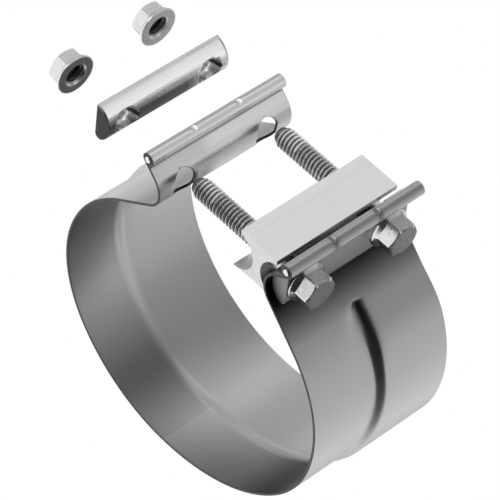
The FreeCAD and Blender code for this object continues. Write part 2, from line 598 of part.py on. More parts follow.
def flange_hex(body, label, height, outward):
    """Hexagon on a coned flange with chamfered corners; outward is the side that the hexagon points to."""
    sketch = new_sketch(body, label + "_hex", "YZ")
    hexagon(sketch)
    pad = body.newObject("PartDesign::Pad", label + "_hex_pad")
    pad.Profile = sketch
    pad.Reversed = outward < 0
    pad.setExpression("Length", height)
    flange = new_sketch(body, label + "_flange", "XZ")
    fr = value["flange_radius"]
    ft = value["flange_thickness"]
    rise = value["flange_rise"]
    s = outward
    points = [
        ((0.0, "0"), (0.0, "0")),
        ((0.0, "0"), (fr, "size.flange_radius")),
        ((s * ft, "%d * size.flange_thickness" % s), (fr, "size.flange_radius")),
        ((s * (ft + rise), "%d * (size.flange_thickness + size.flange_rise)" % s),
         (value["hex_flats"] / math.sqrt(3) + 0.15, "size.hex_flats / sqrt(3) + 0.15")),
        ((s * (ft + rise), "%d * (size.flange_thickness + size.flange_rise)" % s), (0.0, "0")),
    ]
    polygon(flange, points)
    turned = body.newObject("PartDesign::Revolution", label + "_flange_turn")
    turned.Profile = flange
    turned.ReferenceAxis = (flange, ["H_Axis"])
    turned.Angle = 360
    # the corners of the free end are turned off at thirty degrees
    bevel = new_sketch(body, label + "_bevel", "XZ")
    corner = value["hex_flats"] / math.sqrt(3) + 0.5
    near = value["hex_flats"] / 2 - 0.4
    end = {"size.head_height": value["head_height"], "size.nut_height": value["nut_height"]}[height]
    rise = (corner - near) * 0.577
    points = [
        ((s * end, "%d * %s" % (s, height)), (near, "size.hex_flats / 2 - 0.4")),
        ((s * (end + 1), "%d * (%s + 1)" % (s, height)), (near, "size.hex_flats / 2 - 0.4")),
        ((s * (end + 1), "%d * (%s + 1)" % (s, height)), (corner, "size.hex_flats / sqrt(3) + 0.5")),
        ((s * (end - rise), "%d * (%s - (size.hex_flats * 0.07735 + 0.9) * 0.577)" % (s, height)),
         (corner, "size.hex_flats / sqrt(3) + 0.5")),
    ]
    polygon(bevel, points)
    turned_off = body.newObject("PartDesign::Groove", label + "_bevel_turn")
    turned_off.Profile = bevel
    turned_off.ReferenceAxis = (bevel, ["H_Axis"])
    turned_off.Angle = 360
    return turned_off


def flange_bolt(label, side):
    """Flange bolt: head towards +X, chamfered tip towards -X, its origin on the head's bearing face."""
    body = new_body(label)
    flange_hex(body, label, "size.head_height", 1)
    shank = new_sketch(body, label + "_shank", "XZ")
    r = value["bolt_diameter"] / 2
    length = value["bolt_length"]
    c = value["tip_chamfer"]
    points = [
        ((0.5, "0.5"), (0.0, "0")),
        ((0.5, "0.5"), (r, "size.bolt_diameter / 2")),
        ((-length + c, "-size.bolt_length + size.tip_chamfer"), (r, "size.bolt_diameter / 2")),
        ((-length, "-size.bolt_length"), (r - c * 0.53, "size.bolt_diameter / 2 - size.tip_chamfer * 0.53")),
        ((-length, "-size.bolt_length"), (0.0, "0")),
    ]
    polygon(shank, points)
    turned = body.newObject("PartDesign::Revolution", label + "_shank_turn")
    turned.Profile = shank
    turned.ReferenceAxis = (shank, ["H_Axis"])
    turned.Angle = 360
    body.Tip = turned
    body.setExpression("Placement.Base.x", "size.hook_x - size.bar_flat")
    body.setExpression("Placement.Base.y", "%d * size.bolt_pitch / 2" % side)
    body.setExpression("Placement.Base.z", "size.hook_z")
    return body


bolt_front = flange_bolt("bolt_front", -1)
bolt_back = flange_bolt("bolt_back", 1)


def flange_nut(label, side):
    """Flange nut: flange face towards +X, its origin on that face."""
    body = new_body(label)
    flange_hex(body, label, "size.nut_height", -1)
    bore = new_sketch(body, label + "_bore", "YZ")
    bore.addGeometry(Part.Circle(V(0, 0, 0), V(0, 0, 1), value["nut_bore"]), False)
    bore.addConstraint(Sketcher.Constraint("Coincident", 0, 3, -1, 1))
    named(bore, Sketcher.Constraint("Radius", 0, value["nut_bore"]), "bore", "size.nut_bore")
    cut = body.newObject("PartDesign::Pocket", label + "_bore_cut")
    cut.Profile = bore
    cut.Type = 1
    cut.Midplane = True
    body.Tip = cut
    body.setExpression("Placement.Base.x", "-size.nut_off")
    body.setExpression("Placement.Base.y", "%d * size.bolt_pitch / 2" % side)
    body.setExpression("Placement.Base.z", "size.hook_z")
    return body


nut_front = flange_nut("nut_front", -1)
nut_back = flange_nut("nut_back", 1)
doc.recompute()

PIECES = [
    ("band", band), ("rod_left", rod_left), ("rod_right", rod_right), ("bar_left", bar_left),
    ("bar_right", bar_right), ("spacer_block", block), ("bolt_front", bolt_front),
    ("bolt_back", bolt_back), ("nut_front", nut_front), ("nut_back", nut_back),
]
for item in doc.Objects:
    for word in ("Invalid", "Error"):
        if word in item.State:
            raise SystemExit("%s is in state %s" % (item.Name, item.State))
os.makedirs("parts", exist_ok=True)
for node, piece in PIECES:
    shape = piece.Shape
    if not shape.isValid() or len(shape.Solids) != 1:
        raise SystemExit("%s is not one valid solid: %s %d" % (node, shape.isValid(), len(shape.Solids)))
    box = shape.BoundBox
    print("%-13s %9.1f mm3  x %.2f..%.2f  y %.2f..%.2f  z %.2f..%.2f" % (
        node, shape.Volume, box.XMin, box.XMax, box.YMin, box.YMax, box.ZMin, box.ZMax))
    shape.exportStep("parts/%s.step" % node)
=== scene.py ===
# Lap-joint exhaust band clamp on a white ground: visual pieces, finishes, lights and camera.
# Frame: +Y is the pipe bore's axis, +Z points up through the gap, +X runs along the bolts to their heads.
import math

import bmesh
import bpy
from mathutils import Matrix, Vector
from mathutils.geometry import delaunay_2d_cdt


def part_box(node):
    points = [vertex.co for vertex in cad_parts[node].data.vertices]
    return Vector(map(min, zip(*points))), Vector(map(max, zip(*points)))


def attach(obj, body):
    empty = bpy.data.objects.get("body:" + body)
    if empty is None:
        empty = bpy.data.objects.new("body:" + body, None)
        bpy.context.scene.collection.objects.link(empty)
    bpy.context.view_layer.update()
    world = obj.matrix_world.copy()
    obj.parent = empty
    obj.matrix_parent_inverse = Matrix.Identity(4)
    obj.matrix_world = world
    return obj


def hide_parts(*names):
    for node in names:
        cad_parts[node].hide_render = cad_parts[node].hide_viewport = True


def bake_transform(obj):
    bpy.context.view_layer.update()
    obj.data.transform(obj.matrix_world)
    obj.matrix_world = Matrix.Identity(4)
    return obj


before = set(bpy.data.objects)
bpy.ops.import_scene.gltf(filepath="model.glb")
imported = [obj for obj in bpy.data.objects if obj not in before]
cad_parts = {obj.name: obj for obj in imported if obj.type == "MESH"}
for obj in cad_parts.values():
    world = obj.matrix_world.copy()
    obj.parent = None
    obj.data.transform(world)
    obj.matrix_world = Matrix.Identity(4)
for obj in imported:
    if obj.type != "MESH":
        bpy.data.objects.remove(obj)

bl_info = {
    "name": "Exhaust band clamp",
    "version": (1, 0, 0),
    "blender": (4, 2, 0),
    "location": "3D View > Sidebar > Clamp",
    "description": "Builds a stainless exhaust band clamp with its block, bars, bolts and nuts",
    "category": "Object",
}

MM = 0.001


def length(name, text, millimetres):
    return bpy.props.FloatProperty(
        name=name, description=text, default=millimetres * MM, min=0.0, unit="LENGTH", precision=5
    )


def place(name, text, millimetres):
    return bpy.props.FloatProperty(
        name=name, description=text, default=millimetres * MM, unit="LENGTH", precision=5
    )


def turn(name, text, degrees):
    return bpy.props.FloatProperty(
        name=name, description=text, default=math.radians(degrees), subtype="ANGLE", unit="ROTATION"
    )


def colour(name, text, value):
    return bpy.props.FloatVectorProperty(
        name=name, description=text, default=value, size=3, min=0.0, max=1.0, subtype="COLOR"
    )


def share(name, text, value):
    return bpy.props.FloatProperty(
        name=name, description=text, default=value, min=0.0, max=1.0, subtype="FACTOR"
    )


class BandSizes(bpy.types.PropertyGroup):
    """Sizes of the rolled band."""

    thickness: length("Sheet", "Thickness of the sheet", 1.2)
    width: length("Width", "Width along the pipe", 72.0)
    low_x: place("Low point across", "Lowest point of the front land", -7.4)
    low_z: place("Low point height", "Height of that point", -73.2)
    arc: turn("Arc turn", "Turn of each low and middle arc", 50.0)
    right_low: length("Right low radius", "Outer radius of the right low arc", 87.3)
    right_mid: length("Right middle radius", "Outer radius of the right middle arc", 71.8)
    right_top: length("Right shoulder radius", "Outer radius of the right shoulder", 63.4)
    right_shoulder: turn("Right shoulder", "Angle from the top where the right shelf starts", 44.7)
    right_run: length("Right shelf", "Straight of the right shelf", 23.4)
    left_low: length("Left low radius", "Outer radius of the left low arc", 71.4)
    left_mid: length("Left middle radius", "Outer radius of the left middle arc", 61.5)
    left_top: length("Left shoulder radius", "Outer radius of the left shoulder", 71.2)
    left_shoulder: turn("Left shoulder", "Angle from the top where the left shelf starts", 35.5)
    left_run: length("Left shelf", "Straight of the left shelf", 20.9)
    step: length("Step", "Rise of the rear land over the front land", 2.3)
    ramp_front: place("Ramp start", "Where the ramp leaves the front land", -10.0)
    ramp_back: place("Ramp end", "Where the ramp meets the rear land", -2.0)
    step_full: turn("Step end", "Angle from the top where the left step is full", 64.0)
    step_gone: turn("Plain start", "Angle from the top where the left step starts", 47.5)
    step_over: length("Step start", "How far the right step starts on the shelf", 3.5)
    step_fade: length("Step fade", "Length in which the right step grows", 24.0)
    step_drift: length("Step drift", "How far back the step lies at the right shoulder", 5.5)
    crease: length("Crease depth", "Depth of the crease in which the right step starts", 1.4)
    crease_long: length("Crease length", "Length of that crease below the shoulder", 34.0)
    hook: length("Loop radius", "Inner radius of a loop", 10.1)
    hook_turn: turn("Loop turn", "Turn of the sheet round a loop", 101.5)
    top_run: length("Top run", "Straight before the rolled hem", 8.6)
    roll: length("Hem radius", "Outer radius of the rolled hem", 3.1)
    roll_turn: turn("Hem turn", "Turn of the rolled hem", 301.0)
    slot_width: length("Slot width", "Width of a bolt slot", 11.0)
    slot_low: length("Slot low end", "End of a slot below the loop's centre", 7.9)
    left_high: length("Left slot high end", "End of a left slot above the loop's centre", 6.7)
    right_high: length("Right slot high end", "End of a right slot above the loop's centre", 8.3)
    stake_pitch: length("Stake pitch", "Distance of the two stakes of a hem", 24.0)
    stake_nose: length("Stake nose", "Radius of the stake's chisel", 1.7)
    stake_depth: length("Stake depth", "Depth of a stake", 0.75)
    edge: length("Edge rounding", "Rounding of the cut edges", 0.16)


class PartSizes(bpy.types.PropertyGroup):
    """Sizes of the fasteners, bars and block."""

    bolt_pitch: length("Bolt pitch", "Distance of the two bolts", 45.0)
    bolt_radius: length("Bolt radius", "Outer radius of the thread", 4.7625)
    bolt_length: length("Bolt length", "Length under the head", 63.5)
    thread_pitch: length("Thread pitch", "Pitch of the thread", 1.9)
    tip: length("Tip chamfer", "Length of the bolt tip's chamfer", 3.2)
    flats: length("Across flats", "Hexagon across its flats", 14.29)
    head: length("Head height", "Head with its flange", 9.6)
    nut: length("Nut height", "Nut with its flange", 8.5)
    flange: length("Flange radius", "Radius of the flange", 9.4)
    flange_rim: length("Flange rim", "Thickness of the flange's rim", 1.3)
    bar_radius: length("Bar radius", "Round side of a bar", 9.8)
    bar_flat: length("Bar flat", "Flat from the centre of the round side", 1.8)
    bar_length: length("Bar length", "Length of bars and block", 65.0)
    hole: length("Hole radius", "Bolt hole of bars and block", 5.3)
    dimple: length("Dimple radius", "Cone of a bar's hole on the round side", 5.7)
    dimple_depth: length("Dimple depth", "Depth of that cone", 7.2)
    block_top: length("Block top", "Block top over the bolt axis", 12.0)
    block_half: length("Block half width", "Half width of the top plate", 10.3)
    plate_edge: length("Plate edge", "Thickness of the plate at its edge", 2.5)
    hollow: length("Hollow radius", "Hollow sides of the block", 10.2)
    hollow_x: length("Hollow centre", "Distance of a hollow's centre", 12.4)
    hollow_z: place("Hollow height", "Height of that centre over the bolt axis", -0.3)
    foot_half: length("Foot half width", "Half width of the foot", 12.3)
    pipe: length("Pipe radius", "Radius of the pipe below the foot", 63.5)
    pipe_drop: length("Pipe drop", "Pipe axis below the bolt axis", 73.3)


class Finish(bpy.types.PropertyGroup):
    """Colours and roughness of the metals."""

    sheet: colour("Sheet", "Stainless sheet", (0.80, 0.80, 0.80))
    sheet_rough: share("Sheet roughness", "Roughness of the sheet", 0.21)
    zinc: colour("Zinc", "Plated bolts and nuts", (0.72, 0.72, 0.72))
    zinc_rough: share("Zinc roughness", "Roughness of bolts and nuts", 0.24)
    bar: colour("Bar", "Drawn steel of the bars", (0.92, 0.92, 0.92))
    bar_rough: share("Bar roughness", "Roughness of the bars", 0.26)
    block: colour("Block", "Extruded aluminium", (0.90, 0.90, 0.90))
    block_rough: share("Block roughness", "Roughness of the block", 0.30)
    rod: colour("Rod", "Hem rods", (0.70, 0.70, 0.70))
    ground: colour("Ground", "Backdrop", (1.0, 1.0, 1.0))


# shader tools


def wire(tree, kind, links=(), **settings):
    """Adds a node; settings are its own attributes, links are (input, value or socket)."""
    node = tree.nodes.new(kind)
    for key, value in settings.items():
        setattr(node, key, value)
    for key, value in links:
        socket = node.inputs[key]
        if isinstance(value, bpy.types.NodeSocket):
            tree.links.new(value, socket)
        else:
            socket.default_value = value
    return node


def calc(tree, kind, a, b=0.0):
    """Result of a Math node."""
    return wire(tree, "ShaderNodeMath", [(0, a), (1, b)], operation=kind).outputs[0]


def product(tree, a, b):
    """Product of two vectors, part by part."""
    return wire(tree, "ShaderNodeVectorMath", [(0, a), (1, b)], operation="MULTIPLY").outputs[0]


def between(tree, value, low, high, to_low=0.0, to_high=1.0):
    """Value carried smoothly from the range low to high over to the range to_low to to_high."""
    links = [("Value", value), ("From Min", low), ("From Max", high), ("To Min", to_low), ("To Max", to_high)]
    return wire(tree, "ShaderNodeMapRange", links, interpolation_type="SMOOTHSTEP").outputs["Result"]


def mixed(tree, factor, a, b, kind="RGBA"):
    """Mix of two sockets or values by a factor."""
    links = [("Factor", factor), ("A", a), ("B", b)]
    return wire(tree, "ShaderNodeMix", links, data_type=kind).outputs["Result"]


def noise(tree, at, scale, detail, **more):
    """Noise at a place; more are other inputs by their names."""
    links = [("Vector", at), ("Scale", scale), ("Detail", detail), *more.items()]
    return wire(tree, "ShaderNodeTexNoise", links).outputs["Fac"]


def group(name, inputs, outputs):
    """Empty node group with inputs of (name, kind, default) and outputs that are numbers."""
    tree = bpy.data.node_groups.new(name, "ShaderNodeTree")
    for label, kind, default in inputs:
        socket = tree.interface.new_socket(name=label, in_out="INPUT", socket_type=kind)
        if default is not None:
            socket.default_value = default
    for label in outputs:
        tree.interface.new_socket(name=label, in_out="OUTPUT", socket_type="NodeSocketFloat")
    return tree, tree.nodes.new("NodeGroupInput").outputs, tree.nodes.new("NodeGroupOutput").inputs


def grain_group():
    """Drawn or rolled grain: fine streaks along one axis of the given place, and soft cloudy wear."""
    tree, given, out = group(
        "Metal grain",
        [("Place", "NodeSocketVector", None), ("Streak", "NodeSocketVector", (40.0, 1500.0, 1500.0)),
         ("Cloud", "NodeSocketFloat", 60.0)],
        ("Streaks", "Clouds", "Scratches"),
    )
    scaled = product(tree, given["Place"], given["Streak"])
    scratch = noise(tree, product(tree, scaled, (0.35, 0.35, 0.35)), 1.0, 2.0, Distortion=0.4)
    tree.links.new(noise(tree, scaled, 1.0, 4.0, Roughness=0.65), out["Streaks"])
    tree.links.new(noise(tree, given["Place"], given["Cloud"], 5.0, Roughness=0.6), out["Clouds"])
    tree.links.new(between(tree, scratch, 0.60, 0.68), out["Scratches"])
    return tree


def wear_and_crevice_shade_group():
    """Worn edges and painted darkening in crevices from the mesh's own pointiness, and dust that settles on
    upward faces.
    """
    tree, given, out = group(
        "Edge wear, painted crevice darkening and dust",
        [("Place", "NodeSocketVector", None), ("Scale", "NodeSocketFloat", 900.0)],
        ("Edge", "Painted crevice darkening", "Dust"),
    )
    shape = wire(tree, "ShaderNodeNewGeometry").outputs
    patchy = between(tree, noise(tree, given["Place"], given["Scale"], 3.0), 0.35, 0.6)
    edge = between(tree, shape["Pointiness"], 0.52, 0.60)
    tree.links.new(calc(tree, "MULTIPLY", edge, patchy), out["Edge"])
    # painted shade: concave places found by pointiness
    tree.links.new(between(tree, shape["Pointiness"], 0.48, 0.42), out["Painted crevice darkening"])
    up = wire(tree, "ShaderNodeSeparateXYZ", [(0, shape["Normal"])]).outputs["Z"]
    speck = between(tree, noise(tree, given["Place"], 2200.0, 2.0), 0.62, 0.75)
    tree.links.new(calc(tree, "MULTIPLY", between(tree, up, 0.2, 1.0), speck), out["Dust"])
    return tree


def shared(name, maker):
    """Node group of that name, built when it is first asked for."""
    return bpy.data.node_groups.get(name) or maker()


def metal(
    name, tint, rough, streak, cloud, uv=None, bump=0.0006, dark=0.75, edge_wear_and_crevice_shade=1.0, vary=1.0,
    cut=None, cut_rough=0.45, cut_tint=0.6,
):
    """Bare or plated metal with grain, wear, painted darkening and, where cut names an axis, rough sheared
    ends across it.

    streak and cloud are the grain's scales, in the UV map that uv names or else in the object's own place.
    dark tones the painted crevice darkening, edge_wear_and_crevice_shade scales it and the edge wear, vary
    the changes in gloss.
    """

    def toned(factor):
        return (*[min(1.0, part * factor) for part in tint], 1)

    mat = bpy.data.materials.new(name)
    mat.use_nodes = True
    tree = mat.node_tree
    tree.nodes.clear()
    at = wire(tree, "ShaderNodeTexCoord").outputs["Object"]
    along = wire(tree, "ShaderNodeUVMap", uv_map=uv).outputs["UV"] if uv else at
    links = [("Place", along), ("Streak", streak), ("Cloud", cloud)]
    grain_tree, wear_and_crevice_shade_tree = shared("Metal grain", grain_group), shared("Edge wear, painted crevice darkening and dust", wear_and_crevice_shade_group)
    grain = wire(tree, "ShaderNodeGroup", links, node_tree=grain_tree).outputs
    wear = wire(tree, "ShaderNodeGroup", [("Place", at)], node_tree=wear_and_crevice_shade_tree).outputs

    tone = mixed(tree, grain["Clouds"], toned(0.9 + 0.1 * dark), toned(1.06))
    tone = mixed(tree, calc(tree, "MULTIPLY", wear["Edge"], edge_wear_and_crevice_shade), tone, toned(1.25))
    # painted shade: crevices found by pointiness take the dark tone
    tone = mixed(tree, calc(tree, "MULTIPLY", wear["Painted crevice darkening"], edge_wear_and_crevice_shade), tone, toned(dark))
    gloss = between(tree, grain["Streaks"], 0.3, 0.7, rough * (1 - 0.15 * vary), rough * (1 + 0.2 * vary))
    gloss = calc(tree, "ADD", gloss, between(tree, grain["Clouds"], 0.35, 0.7, 0.0, 0.05))
    gloss = calc(tree, "ADD", gloss, calc(tree, "MULTIPLY", wear["Dust"], 0.03))
    height = calc(tree, "ADD", grain["Streaks"], calc(tree, "MULTIPLY", grain["Scratches"], -0.5))
    if cut is not None:
        normal = wire(tree, "ShaderNodeNewGeometry").outputs["True Normal"]
        across = wire(tree, "ShaderNodeSeparateXYZ", [(0, normal)]).outputs[cut]
        ends = between(tree, calc(tree, "ABSOLUTE", across), 0.90, 0.97)
        torn = noise(tree, at, 700.0, 6.0, Roughness=0.7)
        tone = mixed(tree, ends, tone, mixed(tree, torn, toned(cut_tint * 0.7), toned(cut_tint * 1.2)))
        gloss = mixed(tree, ends, gloss, cut_rough, "FLOAT")
        torn_ends = calc(tree, "MULTIPLY", calc(tree, "MULTIPLY", ends, torn), 6.0)
        height = calc(tree, "ADD", height, torn_ends)

    # painted shade: each face's attribute darkens the base colour towards 2 % and roughens it
    painted_shade = wire(tree, "ShaderNodeAttribute", attribute_name="painted_shade").outputs["Fac"]
    gloss = calc(tree, "ADD", gloss, calc(tree, "MULTIPLY", painted_shade, 0.2))
    bumped = wire(tree, "ShaderNodeBump", [("Strength", 0.25), ("Distance", bump), ("Height", height)])
    links = [
        ("Base Color", mixed(tree, painted_shade, tone, toned(0.02))), ("Roughness", gloss), ("Metallic", 1.0),
        ("Normal", bumped.outputs["Normal"]),
    ]
    shader = wire(tree, "ShaderNodeBsdfPrincipled", links)
    wire(tree, "ShaderNodeOutputMaterial", [("Surface", shader.outputs[0])])
    return mat


# mesh tools

# share of a rounding's radius by which its middle lies inside the corner
SLANT = 0.3
# one turn of the thread: share of the pitch, share of the depth
THREAD_FORM = (
    (0.0, 0.0), (0.125, 0.0), (0.28, 0.5), (0.4375, 1.0), (0.5625, 1.04), (0.6875, 1.0), (0.845, 0.5),
)
THREAD_CORNERS, HEX_CORNERS = 48, 144
# points nearer than this are one, on threads and on drilled solids; thread faces below this area go
WELD, DRILLED_WELD, LEAST_AREA = 0.0005, 0.002, 1e-7
# least part of a face's normal along an axis with which it counts as an end, a bar's flat or a head's end
END_NORMAL, FLAT_NORMAL, HEAD_NORMAL = 0.95, 0.97, 0.9
# slope of the chamfer at a hexagon's corners, and how far inside the flats it starts
CHAMFER_SLOPE, CHAMFER_INSET = 0.577, 0.35


def millimetres(sizes):
    """Function that gives a named size in millimetres."""
    return lambda name: getattr(sizes, name) / MM


def within(t):
    """Value kept between 0 and 1."""
    return min(max(t, 0.0), 1.0)


def soft(t):
    """Smooth step from 0 to 1."""
    t = within(t)
    return t * t * (3 - 2 * t)


def bell(t):
    """Bell curve of height 1."""
    return math.exp(-t * t)


def made(bm, name, mat):
    """Turns a bmesh in millimetres into a smooth object in metres."""
    bmesh.ops.recalc_face_normals(bm, faces=bm.faces)
    bmesh.ops.scale(bm, vec=(MM, MM, MM), verts=bm.verts)
    mesh = bpy.data.meshes.new(name)
    bm.to_mesh(mesh)
    bm.free()
    for face in mesh.polygons:
        face.use_smooth = True
    mesh.materials.append(mat)
    obj = bpy.data.objects.new(name, mesh)
    bpy.context.scene.collection.objects.link(obj)
    normals = obj.modifiers.new("normals", "WEIGHTED_NORMAL")
    normals.weight = 60
    normals.keep_sharp = True
    return obj


def mark(obj, rule):
    """Gives each face the painted darkness that rule(centre in mm, normal) names."""
    values = obj.data.attributes.new("painted_shade", "FLOAT", "FACE")
    for face in obj.data.polygons:
        values.data[face.index].value = rule(face.center / MM, face.normal)
    return obj


def strip(bm, a, b):
    """Joins two rings with faces."""
    ends = [(k, (k + 1) % len(a)) for k in range(len(a))]
    return [bm.faces.new((a[k], a[n], b[n], b[k])) for k, n in ends]


def turned_rings(bm, rows, count, y=0.0):
    """Rings about a line along X, from rows of (x, radius); each may be a function of the angle."""
    rings = []
    for x, r in rows:
        ring = []
        for k in range(count):
            a = 2 * math.pi * k / count
            radius = r(a) if callable(r) else r
            along = x(a) if callable(x) else x
            ring.append(bm.verts.new((along, y + radius * math.cos(a), radius * math.sin(a))))
        rings.append(ring)
    return rings


def lathe(bm, rows, count, closed=True, closed_end=True, y=0.0):
    """Turned surface; closed and closed_end put a face on its first and last ring."""
    rings = turned_rings(bm, rows, count, y)
    for a, b in zip(rings, rings[1:]):
        strip(bm, a, b)
    if closed:
        bm.faces.new(rings[0])
    if closed_end:
        bm.faces.new(rings[-1])


def thread_rows(start, stop, pitch, crest, root, limit, inside=False):
    """(x, radius) functions of one helical surface between start and stop; limit(x) bounds the radius."""
    rows = []
    for i in range(-1, math.ceil((stop - start) / pitch) + 1):
        for part, depth in THREAD_FORM:
            begin = start + (i + part) * pitch
            level = crest + (root - crest) * depth

            def along(a, begin=begin):
                return min(max(begin + pitch * a / (2 * math.pi), start), stop)

            def radius(a, along=along, level=level):
                bound = limit(along(a))
                return max(level, bound) if inside else min(level, bound)

            rows.append((along, radius))
    return rows


def helix(bm, rows):
    """Joins thread rows into one spiral sheet: the seam meets the row one pitch further."""
    pitch, last = len(THREAD_FORM), THREAD_CORNERS - 1
    rings = turned_rings(bm, rows, THREAD_CORNERS)
    for i in range(len(rings) - pitch - 1):
        a, b = rings[i], rings[i + 1]
        for k in range(last):
            bm.faces.new((a[k], a[k + 1], b[k + 1], b[k]))
        bm.faces.new((a[last], rings[i + pitch][0], rings[i + 1 + pitch][0], b[last]))
    bmesh.ops.remove_doubles(bm, verts=bm.verts, dist=WELD)
    flat = [face for face in bm.faces if face.calc_area() < LEAST_AREA]
    bmesh.ops.delete(bm, geom=flat, context="FACES")


def hex_rows(sizes, height, side, turned=0.0):
    """Outer rows of a flange hexagon from the flange face to the chamfered end, along X to that side.

    A corner of the hexagon lies at the angle turned.
    """
    s = millimetres(sizes)
    half, flange, rim = s("flats") / 2, s("flange"), s("flange_rim")

    def wall(a):
        return half / math.cos((a - turned) % (math.pi / 3) - math.pi / 6)

    def foot(a, grow):
        return max(wall(a), half + 0.25) + grow

    def chamfer(a, drop=0.0):
        return side * (height - (wall(a) - half + CHAMFER_INSET) * CHAMFER_SLOPE - drop)

    rounded = [
        (0.0, 1.2), (0.0, 0.35), (0.12, 0.1), (0.35, 0.0),
        (rim - 0.35, 0.0), (rim - 0.08, 0.12), (rim + 0.12, 0.5),
    ]
    return [(side * x, flange - back) for x, back in rounded] + [
        (side * (rim + 1.0), lambda a: foot(a, 0.55)), (side * (rim + 1.4), lambda a: foot(a, 0.12)),
        (side * (rim + 1.8), wall), (lambda a: chamfer(a, 0.12), wall), (chamfer, lambda a: wall(a) - 0.08),
    ]


# band

# a path has three arcs and then these parts
SHELF, LOOP, TOP_RUN, HEM = 3, 4, 5, 6
# distance of the sheet's rows along each part, and across it at stakes, crease, ramp and elsewhere
STEPS_ALONG = (2.4, 2.2, 2.0, 0.6, 0.9, 0.6, 0.42)
STEPS_ACROSS = (0.34, 0.45, 0.8, 1.9)
# places of the slots along the pipe, corners of a slot, and how far the rows keep away from it
SLOT_PLACES, SLOT_CORNERS, SLOT_CLEAR = (-22.5, 22.5), 44, 0.55
# angle from the top where the right step starts to drift back, its turn, and how far its two sides draw in
DRIFT_START, DRIFT_TURN, DRIFT_SHRINK = math.radians(125), math.radians(50), 1.2
# the crease's line along the pipe, its end on the shelf, that end's length and its growth to the front
CREASE_Y, CREASE_END, CREASE_BLEND, CREASE_TAPER = -0.8, 4.6, 2.0, 1.8
# half widths of the crease in front of its line and behind it
CREASE_FRONT, CREASE_BACK = 7.0, 2.6
# share of the sheet's thickness that a stake leaves
STAKE_THIN = 0.55
# reach of the close rows about a stake, at the crease and round the ramp, and the edges' distance from rows
STAKE_ROWS, CREASE_ROWS, RAMP_ROWS, EDGE_CLEAR = 2.1, (-3.0, 3.5), (-0.5, 4.0), 0.6
# painted shade of plain sheet and of its cut rims
PLAIN_DARK, RIM_DARK = 0.3, 0.95
# painted shadow along the closed seam of a hem: darkness, distance before the hem and half width
SEAM_DARK, SEAM_BEFORE, SEAM_WIDE = 0.6, 3.4, 0.7
# painted shade in patches inside the ring: darkness, angle from the top and spread in degrees
INNER_SHADE_PATCHES = ((0.4, -76, 24), (0.62, 132, 22), (0.42, -157, 18))
# place along the pipe where the patches start, and the length in which they grow to the front
PATCH_START, PATCH_GROWTH = -3.0, 9.0
# painted shade of the left shelf and loop: darkness, the lengths in which it grows and ends, its reach on the
# hem
LOOP_DARK, LOOP_GROWTH, LOOP_END, LOOP_PAST = 0.28, 20.0, 2.0, 1.0
# painted light on the right shelf and hem, else painted shadow: light of both, and length and power of the
# shelf's fading
SHELF_LIGHT, HEM_LIGHT, SHELF_FADE, SHELF_FALLOFF = 0.7, 0.85, 21.0, 1.6
# length in which the hem's painted light grows, and share of it that a stake takes away as painted shade
HEM_GROWTH, STAKE_SHADE = 3.0, 0.55
# share of the painted light that the crease takes away as painted shade, place of that shade along the pipe
# and its half width
CREASE_SHADE, SHADE_Y, SHADE_WIDE = 0.93, 0.3, 2.8


class Path:
    """Outer face of the front land on one side, from the lowest point through the loop to the hem's end."""

    def __init__(self, sizes, side):
        s = millimetres(sizes)
        shoulder = math.pi - getattr(sizes, side + "_shoulder")
        bends = [
            (s(side + "_low"), sizes.arc), (s(side + "_mid"), sizes.arc),
            (s(side + "_top"), shoulder - 2 * sizes.arc), (None, s(side + "_run")),
            (-s("hook"), sizes.hook_turn), (None, s("top_run")), (s("roll"), sizes.roll_turn),
        ]
        self.flip = -1.0 if side == "left" else 1.0
        self.low = (s("low_x"), s("low_z"))
        self.parts = []
        x, z, heading, far = 0.0, 0.0, 0.0, 0.0
        for radius, amount in bends:
            size = abs(radius) * amount if radius else amount
            self.parts.append((far, size, x, z, heading, 1.0 / radius if radius else 0.0))
            far += size
            x, z, heading = self.walk(self.parts[-1], size)
        self.length = far

    @staticmethod
    def walk(part, t):
        """Place and heading at a distance into a part."""
        _, _, x, z, heading, bend = part
        if not bend:
            return x + t * math.cos(heading), z + t * math.sin(heading), heading
        r = 1.0 / bend
        ahead = heading + t * bend
        x += r * (math.sin(ahead) - math.sin(heading))
        z -= r * (math.cos(ahead) - math.cos(heading))
        return x, z, ahead

    def start(self, index):
        """Distance at which a part starts."""
        return self.parts[index][0]

    def at(self, far):
        """Place, outward normal, heading and part number at a distance from the lowest point."""
        far = min(max(far, 0.0), self.length)
        index = next((i for i, part in enumerate(self.parts) if far <= part[0] + part[1]), HEM)
        part = self.parts[index]
        x, z, heading = self.walk(part, far - part[0])
        f = self.flip
        return self.low[0] + f * x, self.low[1] + z, f * math.sin(heading), -math.cos(heading), heading, index

    def stations(self):
        """Distances at which the sheet gets a row."""
        out = []
        for (far, size, *_), pace in zip(self.parts, STEPS_ALONG):
            count = max(1, round(size / pace))
            out += [far + size * i / count for i in range(count)]
        return out + [self.length]


